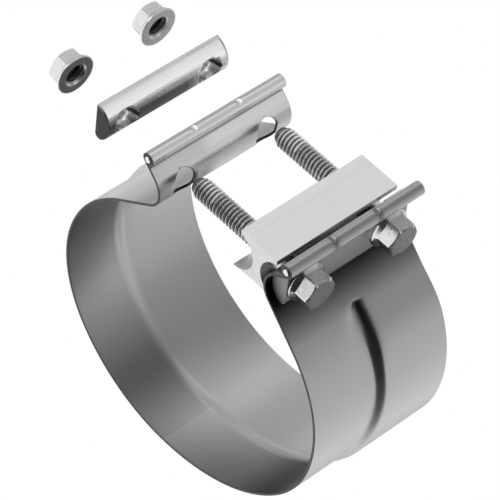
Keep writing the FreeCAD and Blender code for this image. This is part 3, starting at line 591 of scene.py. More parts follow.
class Band:
    """The sheet by u, the distance from its lowest point, and y, the place along the pipe, in millimetres.

    On the left side u is below zero.
    """

    def __init__(self, sizes):
        self.sizes = sizes
        self.mm = millimetres(sizes)
        self.thick, self.half = self.mm("thickness"), self.mm("width") / 2
        self.sides = {1: Path(sizes, "right"), -1: Path(sizes, "left")}
        self.shelf = self.sides[1].start(SHELF)
        self.hem_z = {}
        for way, path in self.sides.items():
            _, z, _, nz, _, _ = path.at(path.start(HEM))
            self.hem_z[way] = z - nz * self.mm("roll")
        self.marks = sorted({-u for u in self.sides[-1].stations()} | set(self.sides[1].stations()))
        self.levels = self.rows_across()
        self.slots = [ring for way in self.sides for ring in self.slot_rings(way)]
        self.boxes = []
        for ring in self.slots:
            us, ys = [corner[0] for corner in ring], [corner[1] for corner in ring]
            self.boxes.append((min(us), max(us), min(ys), max(ys)))

    def from_stake(self, y):
        """Distance of y from the nearer stake's middle, below zero between the stakes."""
        return abs(y) - self.mm("stake_pitch") / 2

    def crease(self, u, blend):
        """Share of the crease's depth along its line; blend is the length in which it ends on the shelf."""
        run = self.mm("crease_long")
        return soft((self.shelf + CREASE_END - u) / blend) * soft((u - self.shelf + run) / run)

    def lift(self, u, y, heading):
        """Height of the step over the front land, less the crease in which the right step starts."""
        s = self.mm
        late, dip = 0.0, 0.0
        if u < 0:
            grown = (math.pi - heading - self.sizes.step_gone) / (self.sizes.step_full - self.sizes.step_gone)
        else:
            grown = (self.shelf + s("step_over") - u) / s("step_fade")
            late = soft((DRIFT_START - math.pi + heading) / DRIFT_TURN)
            deep = self.crease(u, CREASE_BLEND + CREASE_TAPER * max(CREASE_Y - y, 0.0))
            width = CREASE_FRONT if y < CREASE_Y else CREASE_BACK
            dip = s("crease") * deep * bell((y - CREASE_Y) / width)
        front = s("ramp_front") + late * (s("step_drift") + DRIFT_SHRINK)
        back = s("ramp_back") + late * (s("step_drift") - DRIFT_SHRINK)
        return s("step") * soft(grown) * soft((y - front) / (back - front)) - dip

    def spot(self, u, y, depth):
        """Place of a point of the sheet, at a depth under its outer face."""
        way = 1 if u >= 0 else -1
        x, z, nx, nz, heading, index = self.sides[way].at(abs(u))
        out = (self.lift(u, y, heading) if index < LOOP else 0.0) - depth
        x, z = x + nx * out, z + nz * out
        nose = self.mm("stake_nose")
        across = self.from_stake(y)
        if index == HEM and abs(across) < nose:
            rise = nose - math.sqrt(nose * nose - across * across) - STAKE_THIN * depth
            z = min(z, self.hem_z[way] + self.mm("roll") - self.mm("stake_depth") + rise)
        return Vector((x, y, z))

    def rows_across(self):
        """Places along the pipe at which the sheet gets a row, its two edges left out."""
        stake, crease, ramp, plain = STEPS_ACROSS
        rows, y = [], -self.half
        while y < self.half:
            rows.append(round(y, 3))
            if abs(self.from_stake(y)) < STAKE_ROWS:
                y += stake
            elif CREASE_ROWS[0] <= y <= CREASE_ROWS[1]:
                y += crease
            elif self.mm("ramp_front") + RAMP_ROWS[0] <= y <= RAMP_ROWS[1]:
                y += ramp
            else:
                y += plain
        return [y for y in rows if abs(y) < self.half - EDGE_CLEAR]

    def outline(self):
        """Outer edge as (u, y, du, dy), where (du, dy) points out of the sheet."""
        wide, inner, levels = self.half, self.marks[1:-1], self.levels
        low, high = self.marks[0], self.marks[-1]
        return [
            *[(u, -wide, 0.0, -1.0) for u in inner], (high, -wide, 1.0, -1.0),
            *[(high, y, 1.0, 0.0) for y in levels], (high, wide, 1.0, 1.0),
            *[(u, wide, 0.0, 1.0) for u in reversed(inner)], (low, wide, -1.0, 1.0),
            *[(low, y, -1.0, 0.0) for y in reversed(levels)], (low, -wide, -1.0, -1.0),
        ]

    def slot_rings(self, way):
        """Edges of one loop's slots, given as the outline is; the loop's height measures a slot's length."""
        s, path = self.mm, self.sides[way]
        first, last, count = path.start(SHELF), path.start(HEM), 400
        heights = []
        for i in range(count):
            u = first + (last - first) * i / (count - 1)
            _, z, _, nz, _, _ = path.at(u)
            heights.append((z - nz * self.thick / 2, u))
        _, z, _, nz, _, _ = path.at(path.start(LOOP))
        axis = z + nz * s("hook")
        half = s("slot_width") / 2
        up, down = s("right_high" if way > 0 else "left_high") - half, s("slot_low") - half

        def unrolled(level):
            for (za, ua), (zb, ub) in zip(heights, heights[1:]):
                if za <= level <= zb:
                    return ua + (ub - ua) * (level - za) / (zb - za)
            raise ValueError("a slot runs off its loop")

        rings = []
        for middle in SLOT_PLACES:
            ring = []
            for k in range(SLOT_CORNERS):
                a = 2 * math.pi * k / SLOT_CORNERS
                rise = half * math.sin(a) + (up if math.sin(a) >= 0 else -down)
                ring.append((way * unrolled(axis + rise), middle + half * math.cos(a)))
            rings.append(self.faced(ring, middle))
        return rings

    @staticmethod
    def faced(ring, middle):
        """Gives each corner of a slot the direction out of the sheet, which is towards the slot's middle."""
        centre = sum(u for u, _ in ring) / len(ring)
        out = []
        for k, (u, y) in enumerate(ring):
            (ua, ya), (ub, yb) = ring[k - 1], ring[(k + 1) % len(ring)]
            size = math.hypot(ub - ua, yb - ya)
            du, dy = (yb - ya) / size, -(ub - ua) / size
            if du * (u - centre) + dy * (y - middle) > 0:
                du, dy = -du, -dy
            out.append((u, y, du, dy))
        return out

    def in_slot(self, u, y, grow=0.0):
        """Whether a point lies in a slot, or nearer to its edge than grow."""
        for ring, (u_low, u_high, y_low, y_high) in zip(self.slots, self.boxes):
            if not (u_low - grow < u < u_high + grow and y_low - grow < y < y_high + grow):
                continue
            inside, near = False, math.inf
            for (ua, ya, *_), (ub, yb, *_) in zip(ring, ring[1:] + ring[:1]):
                if (ya > y) != (yb > y) and u < (ub - ua) * (y - ya) / (yb - ya) + ua:
                    inside = not inside
                half_way = math.hypot(u - (ua + ub) / 2, y - (ya + yb) / 2)
                near = min(near, math.hypot(u - ua, y - ya), half_way)
            if inside or near < grow:
                return True
        return False

    def inner_painted_shade(self, u, y):
        """Painted darkness of the face that looks into the ring and out of the loops."""
        way = 1 if u >= 0 else -1
        path = self.sides[way]
        seam = bell((abs(u) - path.start(HEM) + SEAM_BEFORE) / SEAM_WIDE)
        if seam > 0.1:
            return PLAIN_DARK + SEAM_DARK * seam
        angle = way * math.degrees(math.pi - path.at(abs(u))[4])
        patches = sum(dark * bell((angle - middle) / spread) for dark, middle, spread in INNER_SHADE_PATCHES)
        return PLAIN_DARK + soft((PATCH_START - y) / PATCH_GROWTH) * patches

    def outer_painted_shade(self, u, y):
        """Painted darkness of the outer face: the left loop painted in half shadow, the right side painted
        dark where it isn't lit.
        """
        if u < 0:
            path = self.sides[-1]
            grown = soft((-u - path.start(SHELF)) / LOOP_GROWTH)
            kept = soft((path.start(HEM) + LOOP_PAST + u) / LOOP_END)
            return PLAIN_DARK + LOOP_DARK * (grown * kept)
        path = self.sides[1]
        hem = soft((u - path.start(TOP_RUN)) / HEM_GROWTH)
        if u > path.start(HEM):
            hem *= 1.0 - STAKE_SHADE * bell(self.from_stake(y) / self.mm("stake_nose"))
        light = within(1 - (u - self.shelf) / SHELF_FADE) ** SHELF_FALLOFF + HEM_LIGHT * hem
        painted_shade = CREASE_SHADE * self.crease(u, CREASE_BLEND) * bell((y - SHADE_Y) / SHADE_WIDE)
        return 1.0 - SHELF_LIGHT * light * (1.0 - painted_shade)


def band_sheet(sizes, mat):
    """The whole band as one bent sheet with its step, loops, slots, hems and stakes."""
    band = Band(sizes)
    thick, edge = band.thick, band.mm("edge")
    loops = [band.outline()] + band.slots
    points, edges, keys = [], [], []
    for loop in loops:
        first = len(points)
        points += [Vector((u - edge * du, y - edge * dy)) for u, y, du, dy in loop]
        last = len(points) - 1
        keys.append(range(first, last + 1))
        edges += [(i, i + 1) for i in range(first, last)] + [(last, first)]
    for u in band.marks[1:-1]:
        points += [Vector((u, y)) for y in band.levels if not band.in_slot(u, y, SLOT_CLEAR)]
    only_inside, tolerance = 1, 1e-5
    verts, _, faces, origin, _, _ = delaunay_2d_cdt(points, edges, [], only_inside, tolerance)
    where = {k: i for i, sources in enumerate(origin) for k in sources}

    bm = bmesh.new()
    flat = bm.loops.layers.uv.new("flat")
    painted_shade = bm.faces.layers.float.new("painted_shade")
    top = [bm.verts.new(band.spot(v.x, v.y, 0.0)) for v in verts]
    under = [bm.verts.new(band.spot(v.x, v.y, thick)) for v in verts]
    unrolled = {}
    for i, v in enumerate(verts):
        unrolled[top[i]] = unrolled[under[i]] = (v.x * MM, v.y * MM)
    for face in faces:
        u = sum(verts[i].x for i in face) / len(face)
        y = sum(verts[i].y for i in face) / len(face)
        if not band.in_slot(u, y):
            # each face takes the band's painted shade for its outer or inner side
            bm.faces.new([top[i] for i in face])[painted_shade] = band.outer_painted_shade(u, y)
            bm.faces.new([under[i] for i in reversed(face)])[painted_shade] = band.inner_painted_shade(u, y)

    # each rim goes round the rounded edge: how far a ring stands back, and its depth
    rounded = [(SLANT, SLANT * edge), (0.0, edge), (0.0, thick - edge), (SLANT, thick - SLANT * edge)]
    for loop, key in zip(loops, keys):
        rings = [[top[where[k]] for k in key]]
        for back, depth in rounded:
            ring = []
            for u, y, du, dy in loop:
                v = bm.verts.new(band.spot(u - back * edge * du, y - back * edge * dy, depth))
                unrolled[v] = (u * MM, y * MM)
                ring.append(v)
            rings.append(ring)
        rings.append([under[where[k]] for k in key])
        # the rims take the rims' painted shade
        for a, b in zip(rings, rings[1:]):
            for face in strip(bm, a, b):
                face[painted_shade] = RIM_DARK
    for face in bm.faces:
        for corner in face.loops:
            corner[flat].uv = unrolled[corner.vert]
    return made(bm, "band_sheet", mat)


def rod_piece(name, mat, node):
    """Hem rod with cropped, slightly domed ends."""
    low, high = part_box(node)
    r, half = (high.x - low.x) / 2 / MM, (high.y - low.y) / 2 / MM
    plain, slices = 0.4, 12
    start = [(-half, r - 0.5), (-half + 0.04, r - 0.28), (-half + 0.16, r - 0.08), (-half + plain, r)]
    rows = start + [(-half + plain + 2 * (half - plain) * i / slices, r) for i in range(1, slices)]
    bm = bmesh.new()
    lathe(bm, rows + [(-x, radius) for x, radius in reversed(start)], 40)
    bmesh.ops.rotate(bm, verts=bm.verts, cent=(0, 0, 0), matrix=Matrix.Rotation(math.pi / 2, 3, "Z"))
    bmesh.ops.translate(bm, verts=bm.verts, vec=(low + high) / 2 / MM)
    return made(bm, name, mat)


# bars and block

# rounding of the bars' and the block's edges, and radius between a bar's round side and its flat below
BAR_EDGE, BLOCK_EDGE, BAR_FILLET = 0.22, 0.28, 2.2
# painted shade on a bar's end by its side, on its flat, on the round side's underneath and on the hole walls
BAR_END_DARK = {1: 0.35, -1: 0.88}
BAR_FLAT_DARK, BAR_LOW_DARK, HOLE_DARK = 0.64, 0.78, 0.3
# upward part of the normal at which the underneath's painted shade starts, and the change of it in which it
# gets dark
LOW_START, LOW_CHANGE = 0.44, 0.2
# share by which the underneath's painted shade is lighter at the back, the place where that starts and its
# length
BACK_LIGHTER, BACK_START, BACK_GROWTH = 0.6, 10.0, 8.0


def arc(centre, radius, begin, end, steps, skip=0):
    """Points of an arc about centre, without its first points where skip says so."""
    angles = [begin + (end - begin) * i / steps for i in range(skip, steps + 1)]
    return [(centre[0] + radius * math.cos(a), centre[1] + radius * math.sin(a)) for a in angles]


def extruded(outline, half):
    """Closed outline of (x, z) pushed along Y both ways, in slices so that its normals stay true."""
    bm = bmesh.new()
    inner, slices = half - 1.0, 24
    places = [-half] + [-inner + 2 * inner * i / slices for i in range(slices + 1)] + [half]
    rings = [[bm.verts.new((x, y, z)) for x, z in outline] for y in places]
    for near, far in zip(rings, rings[1:]):
        strip(bm, near, far)
    bm.faces.new(rings[0])
    bm.faces.new(list(reversed(rings[-1])))
    bmesh.ops.recalc_face_normals(bm, faces=bm.faces)
    return bm


def cut_out(bm, tools, name, mat, round_off, centre):
    """Takes the tools out of the solid, rounds its edges and gives the finished object."""

    def loose(source, label):
        mesh = bpy.data.meshes.new(label)
        source.to_mesh(mesh)
        source.free()
        obj = bpy.data.objects.new(label, mesh)
        bpy.context.scene.collection.objects.link(obj)
        return obj

    solid = loose(bm, name + "_solid")
    spare = [solid]
    for i, tool in enumerate(tools):
        cut = solid.modifiers.new("cut", "BOOLEAN")
        cut.operation = "DIFFERENCE"
        cut.solver = "EXACT"
        cut.object = loose(tool, "%s_tool_%d" % (name, i))
        spare.append(cut.object)
    rounding = solid.modifiers.new("edges", "BEVEL")
    rounding.width = round_off
    rounding.segments = 3
    rounding.limit_method = "ANGLE"
    rounding.angle_limit = math.radians(28)
    rounding.use_clamp_overlap = True
    bpy.context.view_layer.update()
    mesh = bpy.data.meshes.new_from_object(solid.evaluated_get(bpy.context.evaluated_depsgraph_get()))
    out = bmesh.new()
    out.from_mesh(mesh)
    bmesh.ops.remove_doubles(out, verts=out.verts, dist=DRILLED_WELD)
    bmesh.ops.translate(out, verts=out.verts, vec=centre)
    bpy.data.meshes.remove(mesh)
    for obj in spare:
        data = obj.data
        bpy.data.objects.remove(obj)
        bpy.data.meshes.remove(data)
    return made(out, name, mat)


def drill(x0, x1, r0, r1, y):
    """A straight or coned cutter along X."""
    bm = bmesh.new()
    lathe(bm, [(x0, r0), (x1, r1)], 64, y=y)
    bmesh.ops.recalc_face_normals(bm, faces=bm.faces)
    return bm


def bar_piece(sizes, name, mat, node, side):
    """Half-round bar with two bolt holes, coned on the round side; side is where its flat faces."""
    s = millimetres(sizes)
    low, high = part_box(node)
    r, flat = s("bar_radius"), s("bar_flat")
    top = math.sqrt(r * r - flat * flat)
    middle = high.x / MM + flat if side > 0 else low.x / MM - flat
    centre = Vector((middle, 0.0, high.z / MM - top))
    fx = -flat - BAR_FILLET
    fz = -math.sqrt((r - BAR_FILLET) ** 2 - fx * fx)
    meet = math.atan2(fz, fx) + 2 * math.pi
    outline = arc((0.0, 0.0), r, math.atan2(top, -flat), meet, 60)
    outline += arc((fx, fz), BAR_FILLET, meet, 2 * math.pi, 10, skip=1)
    bm = extruded([(side * x, z) for x, z in outline], s("bar_length") / 2)

    # each hole takes a straight cutter, and a cone that reaches out of the round side
    tools = []
    hole, dimple, depth, beyond = s("hole"), s("dimple"), s("dimple_depth"), 2.0
    slope = (dimple + 1 - hole + 0.6) / (depth + 1)
    for y in (-s("bolt_pitch") / 2, s("bolt_pitch") / 2):
        tools.append(drill(-side * 16, side * 4, hole, hole, y))
        tools.append(drill(-side * (r - depth), -side * (r + beyond), hole - 0.6, dimple + 1 + slope, y))
    bar = cut_out(bm, tools, name, mat, BAR_EDGE, centre)

    # painted shade by face: the two ends differ, and flat, hole walls and underneath are darker
    def darkness(at, n):
        if abs(n.y) > END_NORMAL:
            return BAR_END_DARK[side]
        if n.x * side > FLAT_NORMAL:
            return BAR_FLAT_DARK
        if math.hypot(at.x - centre.x, at.z - centre.z) <= r - 0.2:
            return HOLE_DARK
        back = 1.0 - BACK_LIGHTER * within((at.y - BACK_START) / BACK_GROWTH)
        return BAR_LOW_DARK * (within((LOW_START - n.z) / LOW_CHANGE) * back)

    return mark(bar, darkness)


def block_piece(sizes, mat):
    """Extruded spacer: flat plate, hollow sides, feathered foot with the pipe's curve below, two holes."""
    s = millimetres(sizes)
    low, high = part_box("spacer_block")
    centre = (low + high) / 2 / MM
    centre.z = high.z / MM - s("block_top")
    top, half, foot, pipe = s("block_top"), s("block_half"), s("foot_half"), s("pipe")
    edge = top - s("plate_edge")
    cx, cz, cr = s("hollow_x"), s("hollow_z"), s("hollow")
    inner = cx - math.sqrt(cr * cr - (edge - cz) ** 2)
    foot_z = cz - math.sqrt(cr * cr - (cx - foot) ** 2)
    up = math.atan2(edge - cz, inner - cx)
    down = math.atan2(foot_z - cz, foot - cx) + 2 * math.pi
    span = math.asin(foot / pipe)
    right = [(half, top), (half, edge), (inner, edge)] + arc((cx, cz), cr, up, down, 36, skip=1)
    for a in [span * (1 - i / 12) for i in range(13)]:
        right.append((pipe * math.sin(a), pipe * math.cos(a) - s("pipe_drop")))
    outline = right + [(-x, z) for x, z in reversed(right[:-1])]
    bm = extruded(outline, (high.y - low.y) / 2 / MM)
    tools = [drill(-20, 20, s("hole"), s("hole"), y) for y in (-s("bolt_pitch") / 2, s("bolt_pitch") / 2)]
    return cut_out(bm, tools, "spacer", mat, BLOCK_EDGE, centre)


# bolts and nuts

# end of the thread under the head, and the length in which it runs out
RUNOUT, RUNOUT_LONG = -14.0, 2.4
# depth of the thread as a share of its pitch, in the bolt and in the nut, and slope of the bolt's tip
ROOT_DEPTH, CREST_DEPTH, TIP_SLOPE = 0.6134, 0.54, 0.53
# play between the bolt's crest and the nut's root
PLAY = 0.1
# painted shade on the bolt's tip and on the head's end face, and length of the dark tip
TIP_DARK, HEAD_DARK, TIP_LONG = 0.8, 0.62, 2.5
# painted shade in the thread grows by this towards its root, less this at the crest, and is not over this
ROOT_DARK, CREST_LIGHT, THREAD_MOST = 1.1, 0.15, 0.8
# painted shade in the nut's bore at its mouth, its growth by the millimetre, and the most
MOUTH_DARK, BORE_GROWTH, BORE_MOST = 0.1, 0.3, 0.95


def bolt_piece(sizes, name, mat, node, turned):
    """Flange bolt along X with its head towards +X."""
    s = millimetres(sizes)
    low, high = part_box(node)
    centre = (low + high) / 2 / MM
    centre.x = high.x / MM - s("head")
    r, pitch, size, height = s("bolt_radius"), s("thread_pitch"), s("bolt_length"), s("head")
    near = s("flats") / 2 - CHAMFER_INSET
    root = r - ROOT_DEPTH * pitch
    tip = r - TIP_SLOPE * s("tip")
    bm = bmesh.new()
    ends = [(height - 0.1, near - 0.1), (height, near - 0.45), (height, near - 2.0), (height, 0.8)]
    lathe(bm, [(0.0, r + 0.1)] + hex_rows(sizes, height, 1, turned) + ends, HEX_CORNERS)

    def limit(x):
        return tip + (x + size) * TIP_SLOPE

    rows = []
    for along, radius in thread_rows(-size, RUNOUT, pitch, r, root, limit):

        def eased(a, along=along, radius=radius):
            thread = radius(a)
            return thread + (r - thread) * within((along(a) - (RUNOUT - RUNOUT_LONG)) / RUNOUT_LONG)

        rows.append((along, eased))
    helix(bm, rows)
    point = [(-size, 0.6), (-size, tip - 0.35), (-size + 0.02, tip + 0.01)]
    lathe(bm, point, THREAD_CORNERS, closed_end=False)
    shank = [(RUNOUT - 0.2, r), (-0.6, r), (-0.2, r + 0.15), (0.1, r + 0.5)]
    lathe(bm, shank, THREAD_CORNERS, closed=False, closed_end=False)
    bmesh.ops.translate(bm, verts=bm.verts, vec=centre)

    # painted shade by face: tip, thread roots and the head's end face
    def darkness(at, n):
        far = math.hypot(at.y - centre.y, at.z - centre.z)
        x = at.x - centre.x
        if x < TIP_LONG - size:
            return TIP_DARK
        if x < -0.3:
            return min(max((r - far) / (r - root) * ROOT_DARK - CREST_LIGHT, 0.0), THREAD_MOST)
        return HEAD_DARK if x > height - 0.5 and n.x > HEAD_NORMAL else 0.0

    return mark(made(bm, name, mat), darkness)


def nut_piece(sizes, name, mat, node, face_painted_shade):
    """Flange nut with its flange towards +X and a threaded bore with countersunk mouths."""
    s = millimetres(sizes)
    low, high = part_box(node)
    centre = (low + high) / 2 / MM
    centre.x = high.x / MM
    r, pitch, height = s("bolt_radius"), s("thread_pitch"), s("nut")
    crest, root = r - CREST_DEPTH * pitch, r + PLAY
    near = s("flats") / 2 - CHAMFER_INSET
    bm = bmesh.new()
    mouth = [(-0.55, root + 0.1), (-0.15, root + 0.55), (0.0, root + 0.8), (0.0, root + 1.3)]
    ends = [(0.1, near - 0.1), (0.0, near - 0.4), (0.0, root + 0.75), (0.1, root + 0.55)]
    ends = [(-height + x, radius) for x, radius in ends]
    lathe(bm, mouth + hex_rows(sizes, height, -1) + ends, HEX_CORNERS, closed=False, closed_end=False)

    def limit(x):
        return max(crest, root + 0.6 + x * 0.9, root + 0.6 - (x + height) * 0.9)

    helix(bm, thread_rows(-height + 0.1, -0.1, pitch, crest, root, limit, inside=True))
    bmesh.ops.translate(bm, verts=bm.verts, vec=centre)

    # painted shade by face: deeper in the bore, and on the flange face
    def darkness(at, n):
        far = math.hypot(at.y - centre.y, at.z - centre.z)
        if far < r + 0.15:
            return min(MOUTH_DARK + BORE_GROWTH * (centre.x - at.x), BORE_MOST)
        return face_painted_shade if n.x > END_NORMAL and far < s("flange") - 0.6 else 0.0

    return mark(made(bm, name, mat), darkness)


# operators


class CLAMP_OT_band(bpy.types.Operator):
    """Builds the band with its hem rods"""

    bl_idname = "clamp.band"
    bl_label = "Band"

    def execute(self, context):
        sizes, finish = context.scene.clamp_band, context.scene.clamp_finish
        steel = metal(
            "stainless_sheet", finish.sheet, finish.sheet_rough, (9.0, 900.0, 900.0), 26.0,
            uv="flat", bump=0.00004, vary=0.25,
        )
        band = band_sheet(sizes, steel)
        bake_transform(band)
        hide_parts("band")
        rod_steel = metal(
            "rod_steel", finish.rod, 0.22, (900.0, 60.0, 900.0), 90.0, cut="Y", cut_rough=0.4, cut_tint=1.1
        )
        for node, body in (("rod_left", "band"), ("rod_right", "right_end")):
            rod = rod_piece(node + "_piece", rod_steel, node)
            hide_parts(node)
            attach(rod, body)
        return {"FINISHED"}


class CLAMP_OT_bars(bpy.types.Operator):
    """Builds the two half-round bars"""

    bl_idname = "clamp.bars"
    bl_label = "Bars"

    def execute(self, context):
        sizes, finish = context.scene.clamp_parts, context.scene.clamp_finish
        mat = metal(
            "drawn_bar", finish.bar, finish.bar_rough, (1100.0, 30.0, 1100.0), 70.0,
            bump=0.0002, edge_wear_and_crevice_shade=0.0, vary=0.3, cut="Y", cut_rough=0.5, cut_tint=0.55,
        )
        for node, body, side in (("bar_right", "bolt_frame", 1), ("bar_left", "bar", -1)):
            bar = bar_piece(sizes, node + "_piece", mat, node, side)
            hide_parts(node)
            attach(bar, body)
        return {"FINISHED"}


class CLAMP_OT_block(bpy.types.Operator):
    """Builds the extruded spacer block"""

    bl_idname = "clamp.block"
    bl_label = "Spacer block"

    def execute(self, context):
        sizes, finish = context.scene.clamp_parts, context.scene.clamp_finish
        mat = metal(
            "extruded_aluminium", finish.block, finish.block_rough, (900.0, 12.0, 900.0), 50.0,
            bump=0.0003, edge_wear_and_crevice_shade=0.0, vary=0.3, cut="Y", cut_rough=0.42, cut_tint=0.72,
        )
        block = block_piece(sizes, mat)
        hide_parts("spacer_block")
        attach(block, "block")
        return {"FINISHED"}


def plated(name, finish):
    """Zinc plate for bolts or nuts."""
    # crevices and thread roots get a deep painted shade
    return metal(
        name, finish.zinc, finish.zinc_rough, (420.0, 420.0, 420.0), 160.0,
        dark=0.3, cut="X", cut_rough=0.3, cut_tint=0.95,
    )


class CLAMP_OT_bolts(bpy.types.Operator):
    """Builds the two flange bolts"""

    bl_idname = "clamp.bolts"
    bl_label = "Flange bolts"

    def execute(self, context):
        sizes, mat = context.scene.clamp_parts, plated("zinc_plate", context.scene.clamp_finish)
        for node, body, turned in (("bolt_front", "bolt_f", -6.0), ("bolt_back", "bolt_b", -8.0)):
            bolt = bolt_piece(sizes, node + "_piece", mat, node, math.radians(turned))
            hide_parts(node)
            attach(bolt, body)
        return {"FINISHED"}


class CLAMP_OT_nuts(bpy.types.Operator):
    """Builds the two flange nuts"""

    bl_idname = "clamp.nuts"
    bl_label = "Flange nuts"

    def execute(self, context):
        sizes, mat = context.scene.clamp_parts, plated("zinc_nut", context.scene.clamp_finish)
        # painted shade on each nut's flange face, darker on the front nut
        for node, body, dark in (("nut_front", "nut_f", 0.7), ("nut_back", "nut_b", 0.35)):
            nut = nut_piece(sizes, node + "_piece", mat, node, dark)
            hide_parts(node)
            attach(nut, body)
        return {"FINISHED"}


# brightness of the surround by the angle round the bore, in degrees from the top, behind and in front
REAR_LIGHT = (
    (-89, 0.72), (-66, 0.56), (-48, 0.58), (-30, 0.84), (-12, 0.6), (6, 0.36), (24, 0.3), (42, 0.38),
    (62, 0.42), (78, 0.55), (94, 0.64), (126, 0.72), (142, 0.82), (166, 0.95), (186, 0.75), (204, 0.4),
    (222, 0.6), (240, 0.95), (269, 0.72),
)
FRONT_LIGHT = (
    (-89, 1.2), (-60, 0.9), (-20, 0.5), (20, 0.2), (45, 0.03), (120, 0.02), (140, 0.1), (165, 0.6),
    (190, 1.3), (225, 1.3), (250, 1.0), (269, 1.2),
)
# soft lamps: name, place, aim, size and power
LAMPS = (
    ("card", (-0.029, 0.021, 0.1115), (-0.0689, 0.021, 0.0198), (0.096, 0.068), 0.0095),
    ("low card", (-0.004, 0.021, 0.0875), (-0.040, 0.021, 0.0875), (0.100, 0.022), 0.0034),
    ("head card", (0.0499, 0.0117, 0.077), (0.0499, 0.0225, 0.077), (0.008, 0.012), 0.0003),
    ("key", (-0.5, -0.5, 0.9), (0, 0, 0.02), (0.5, 0.35), 1.2),
)
# the camera's azimuth, elevation and roll in degrees, its aim and distance in metres, and its lens
VIEW_TURNS, VIEW_LENS = (41.788, 49.023, 7.942), 236.6
VIEW_AIM, VIEW_DISTANCE = Vector((-0.010838, 0.007007, 0.016942)), 1.36662
# a little headroom keeps the back nut inside the picture
VIEW_HEADROOM = 0.00105


def light_ramp(tree, turn_share, stops):
    """Brightness by the share of a full turn round the bore; stops are (degrees from the top, level)."""
    ramp = wire(tree, "ShaderNodeValToRGB", [("Fac", turn_share)])
    ramp.color_ramp.interpolation = "EASE"
    elements = ramp.color_ramp.elements
    while len(elements) > 1:
        elements.remove(elements[-1])
    (position, level), *others = sorted(((0.75 - degrees / 360) % 1.0, level) for degrees, level in stops)
    elements[0].position = position
    elements[0].color = (level, level, level, 1)
    for position, level in others:
        elements.new(position).color = (level, level, level, 1)
    return ramp.outputs["Color"]


def surround(ground):
    """World of one colour for the camera, and of soft light and dark round the bore for the metal."""
    world = bpy.data.worlds.new("surround")
    world.use_nodes = True
    tree = world.node_tree
    tree.nodes.clear()
    direction = wire(tree, "ShaderNodeTexCoord").outputs["Generated"]
    axes = wire(tree, "ShaderNodeSeparateXYZ", [(0, direction)]).outputs
    angle = calc(tree, "ARCTAN2", axes["Z"], axes["X"])
    turn_share = calc(tree, "ADD", calc(tree, "DIVIDE", angle, 2 * math.pi), 0.5)
    front, rear = light_ramp(tree, turn_share, FRONT_LIGHT), light_ramp(tree, turn_share, REAR_LIGHT)
    light = mixed(tree, between(tree, axes["Y"], -0.12, 0.3), front, rear)
    lit = wire(tree, "ShaderNodeBackground", [("Color", light), ("Strength", 1.0)])
    seen = wire(tree, "ShaderNodeBackground", [("Color", (*ground, 1)), ("Strength", 1.0)])
    camera_ray = wire(tree, "ShaderNodeLightPath").outputs["Is Camera Ray"]
    mix = wire(tree, "ShaderNodeMixShader", [(0, camera_ray), (1, lit.outputs[0]), (2, seen.outputs[0])])
    wire(tree, "ShaderNodeOutputWorld", [("Surface", mix.outputs[0])])
    return world


def softbox(name, at, aim, size, power):
    """Soft lamp that lights the piece and isn't seen itself."""
    lamp = bpy.data.lights.new(name, "AREA")
    lamp.shape = "RECTANGLE"
    lamp.size, lamp.size_y = size
    lamp.energy = power
    obj = bpy.data.objects.new(name, lamp)
    bpy.context.scene.collection.objects.link(obj)
    obj.location = at
    obj.rotation_euler = (Vector(aim) - Vector(at)).to_track_quat("-Z", "Y").to_euler()
    obj.visible_camera = False


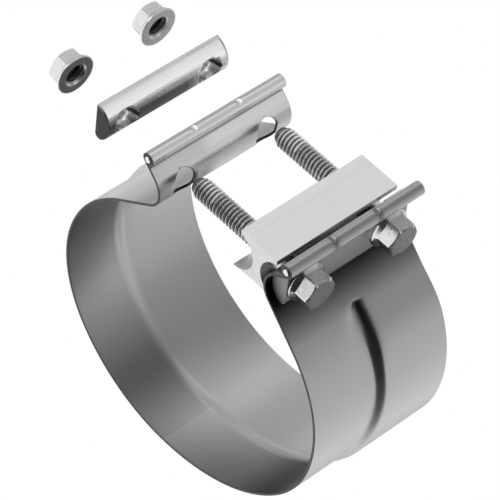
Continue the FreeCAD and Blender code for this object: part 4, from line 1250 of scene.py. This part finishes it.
def view_camera():
    """Camera at the photograph's angle, from the front, right and above."""
    azimuth, elevation, roll = (math.radians(degrees) for degrees in VIEW_TURNS)
    level = math.cos(elevation)
    back = Vector((math.sin(azimuth) * level, -math.cos(azimuth) * level, math.sin(elevation)))
    right = (-back).cross(Vector((0, 0, 1))).normalized()
    up = right.cross(-back)
    across = math.cos(roll) * right + math.sin(roll) * up
    upright = -math.sin(roll) * right + math.cos(roll) * up
    at = VIEW_AIM + back * VIEW_DISTANCE + upright * VIEW_HEADROOM
    data = bpy.data.cameras.new("view")
    data.sensor_width = 36.0
    data.lens = VIEW_LENS
    data.clip_start, data.clip_end = 0.05, 10.0
    camera = bpy.data.objects.new("view", data)
    bpy.context.scene.collection.objects.link(camera)
    rows = [(across[i], upright[i], back[i], at[i]) for i in range(3)]
    camera.matrix_world = Matrix((*rows, (0, 0, 0, 1)))
    return camera


class CLAMP_OT_stage(bpy.types.Operator):
    """Adds the white surround, the lamps and the camera"""

    bl_idname = "clamp.stage"
    bl_label = "Stage"

    def execute(self, context):
        scene = context.scene
        scene.view_settings.view_transform = "Standard"
        scene.world = surround(scene.clamp_finish.ground)
        for lamp in LAMPS:
            softbox(*lamp)
        scene.camera = view_camera()
        return {"FINISHED"}


class CLAMP_PT_panel(bpy.types.Panel):
    """Sizes, finishes and the build steps"""

    bl_idname = "CLAMP_PT_panel"
    bl_label = "Exhaust band clamp"
    bl_space_type = "VIEW_3D"
    bl_region_type = "UI"
    bl_category = "Clamp"

    def draw(self, context):
        for operator in OPERATORS:
            self.layout.operator(operator.bl_idname)
        for holder in (context.scene.clamp_band, context.scene.clamp_parts, context.scene.clamp_finish):
            box = self.layout.box()
            for key in holder.__annotations__:
                box.prop(holder, key)


OPERATORS = (CLAMP_OT_band, CLAMP_OT_bars, CLAMP_OT_block, CLAMP_OT_bolts, CLAMP_OT_nuts, CLAMP_OT_stage)
CLASSES = (BandSizes, PartSizes, Finish) + OPERATORS + (CLAMP_PT_panel,)


def register():
    for item in CLASSES:
        bpy.utils.register_class(item)
    bpy.types.Scene.clamp_band = bpy.props.PointerProperty(type=BandSizes)
    bpy.types.Scene.clamp_parts = bpy.props.PointerProperty(type=PartSizes)
    bpy.types.Scene.clamp_finish = bpy.props.PointerProperty(type=Finish)


def unregister():
    for name in ("clamp_band", "clamp_parts", "clamp_finish"):
        delattr(bpy.types.Scene, name)
    for item in reversed(CLASSES):
        bpy.utils.unregister_class(item)


def main():
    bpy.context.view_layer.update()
    register()
    for operator in OPERATORS:
        group_name, call = operator.bl_idname.split(".")
        if getattr(getattr(bpy.ops, group_name), call)() != {"FINISHED"}:
            raise RuntimeError(operator.bl_idname + " did not finish")


if __name__ == "__main__":
    main()
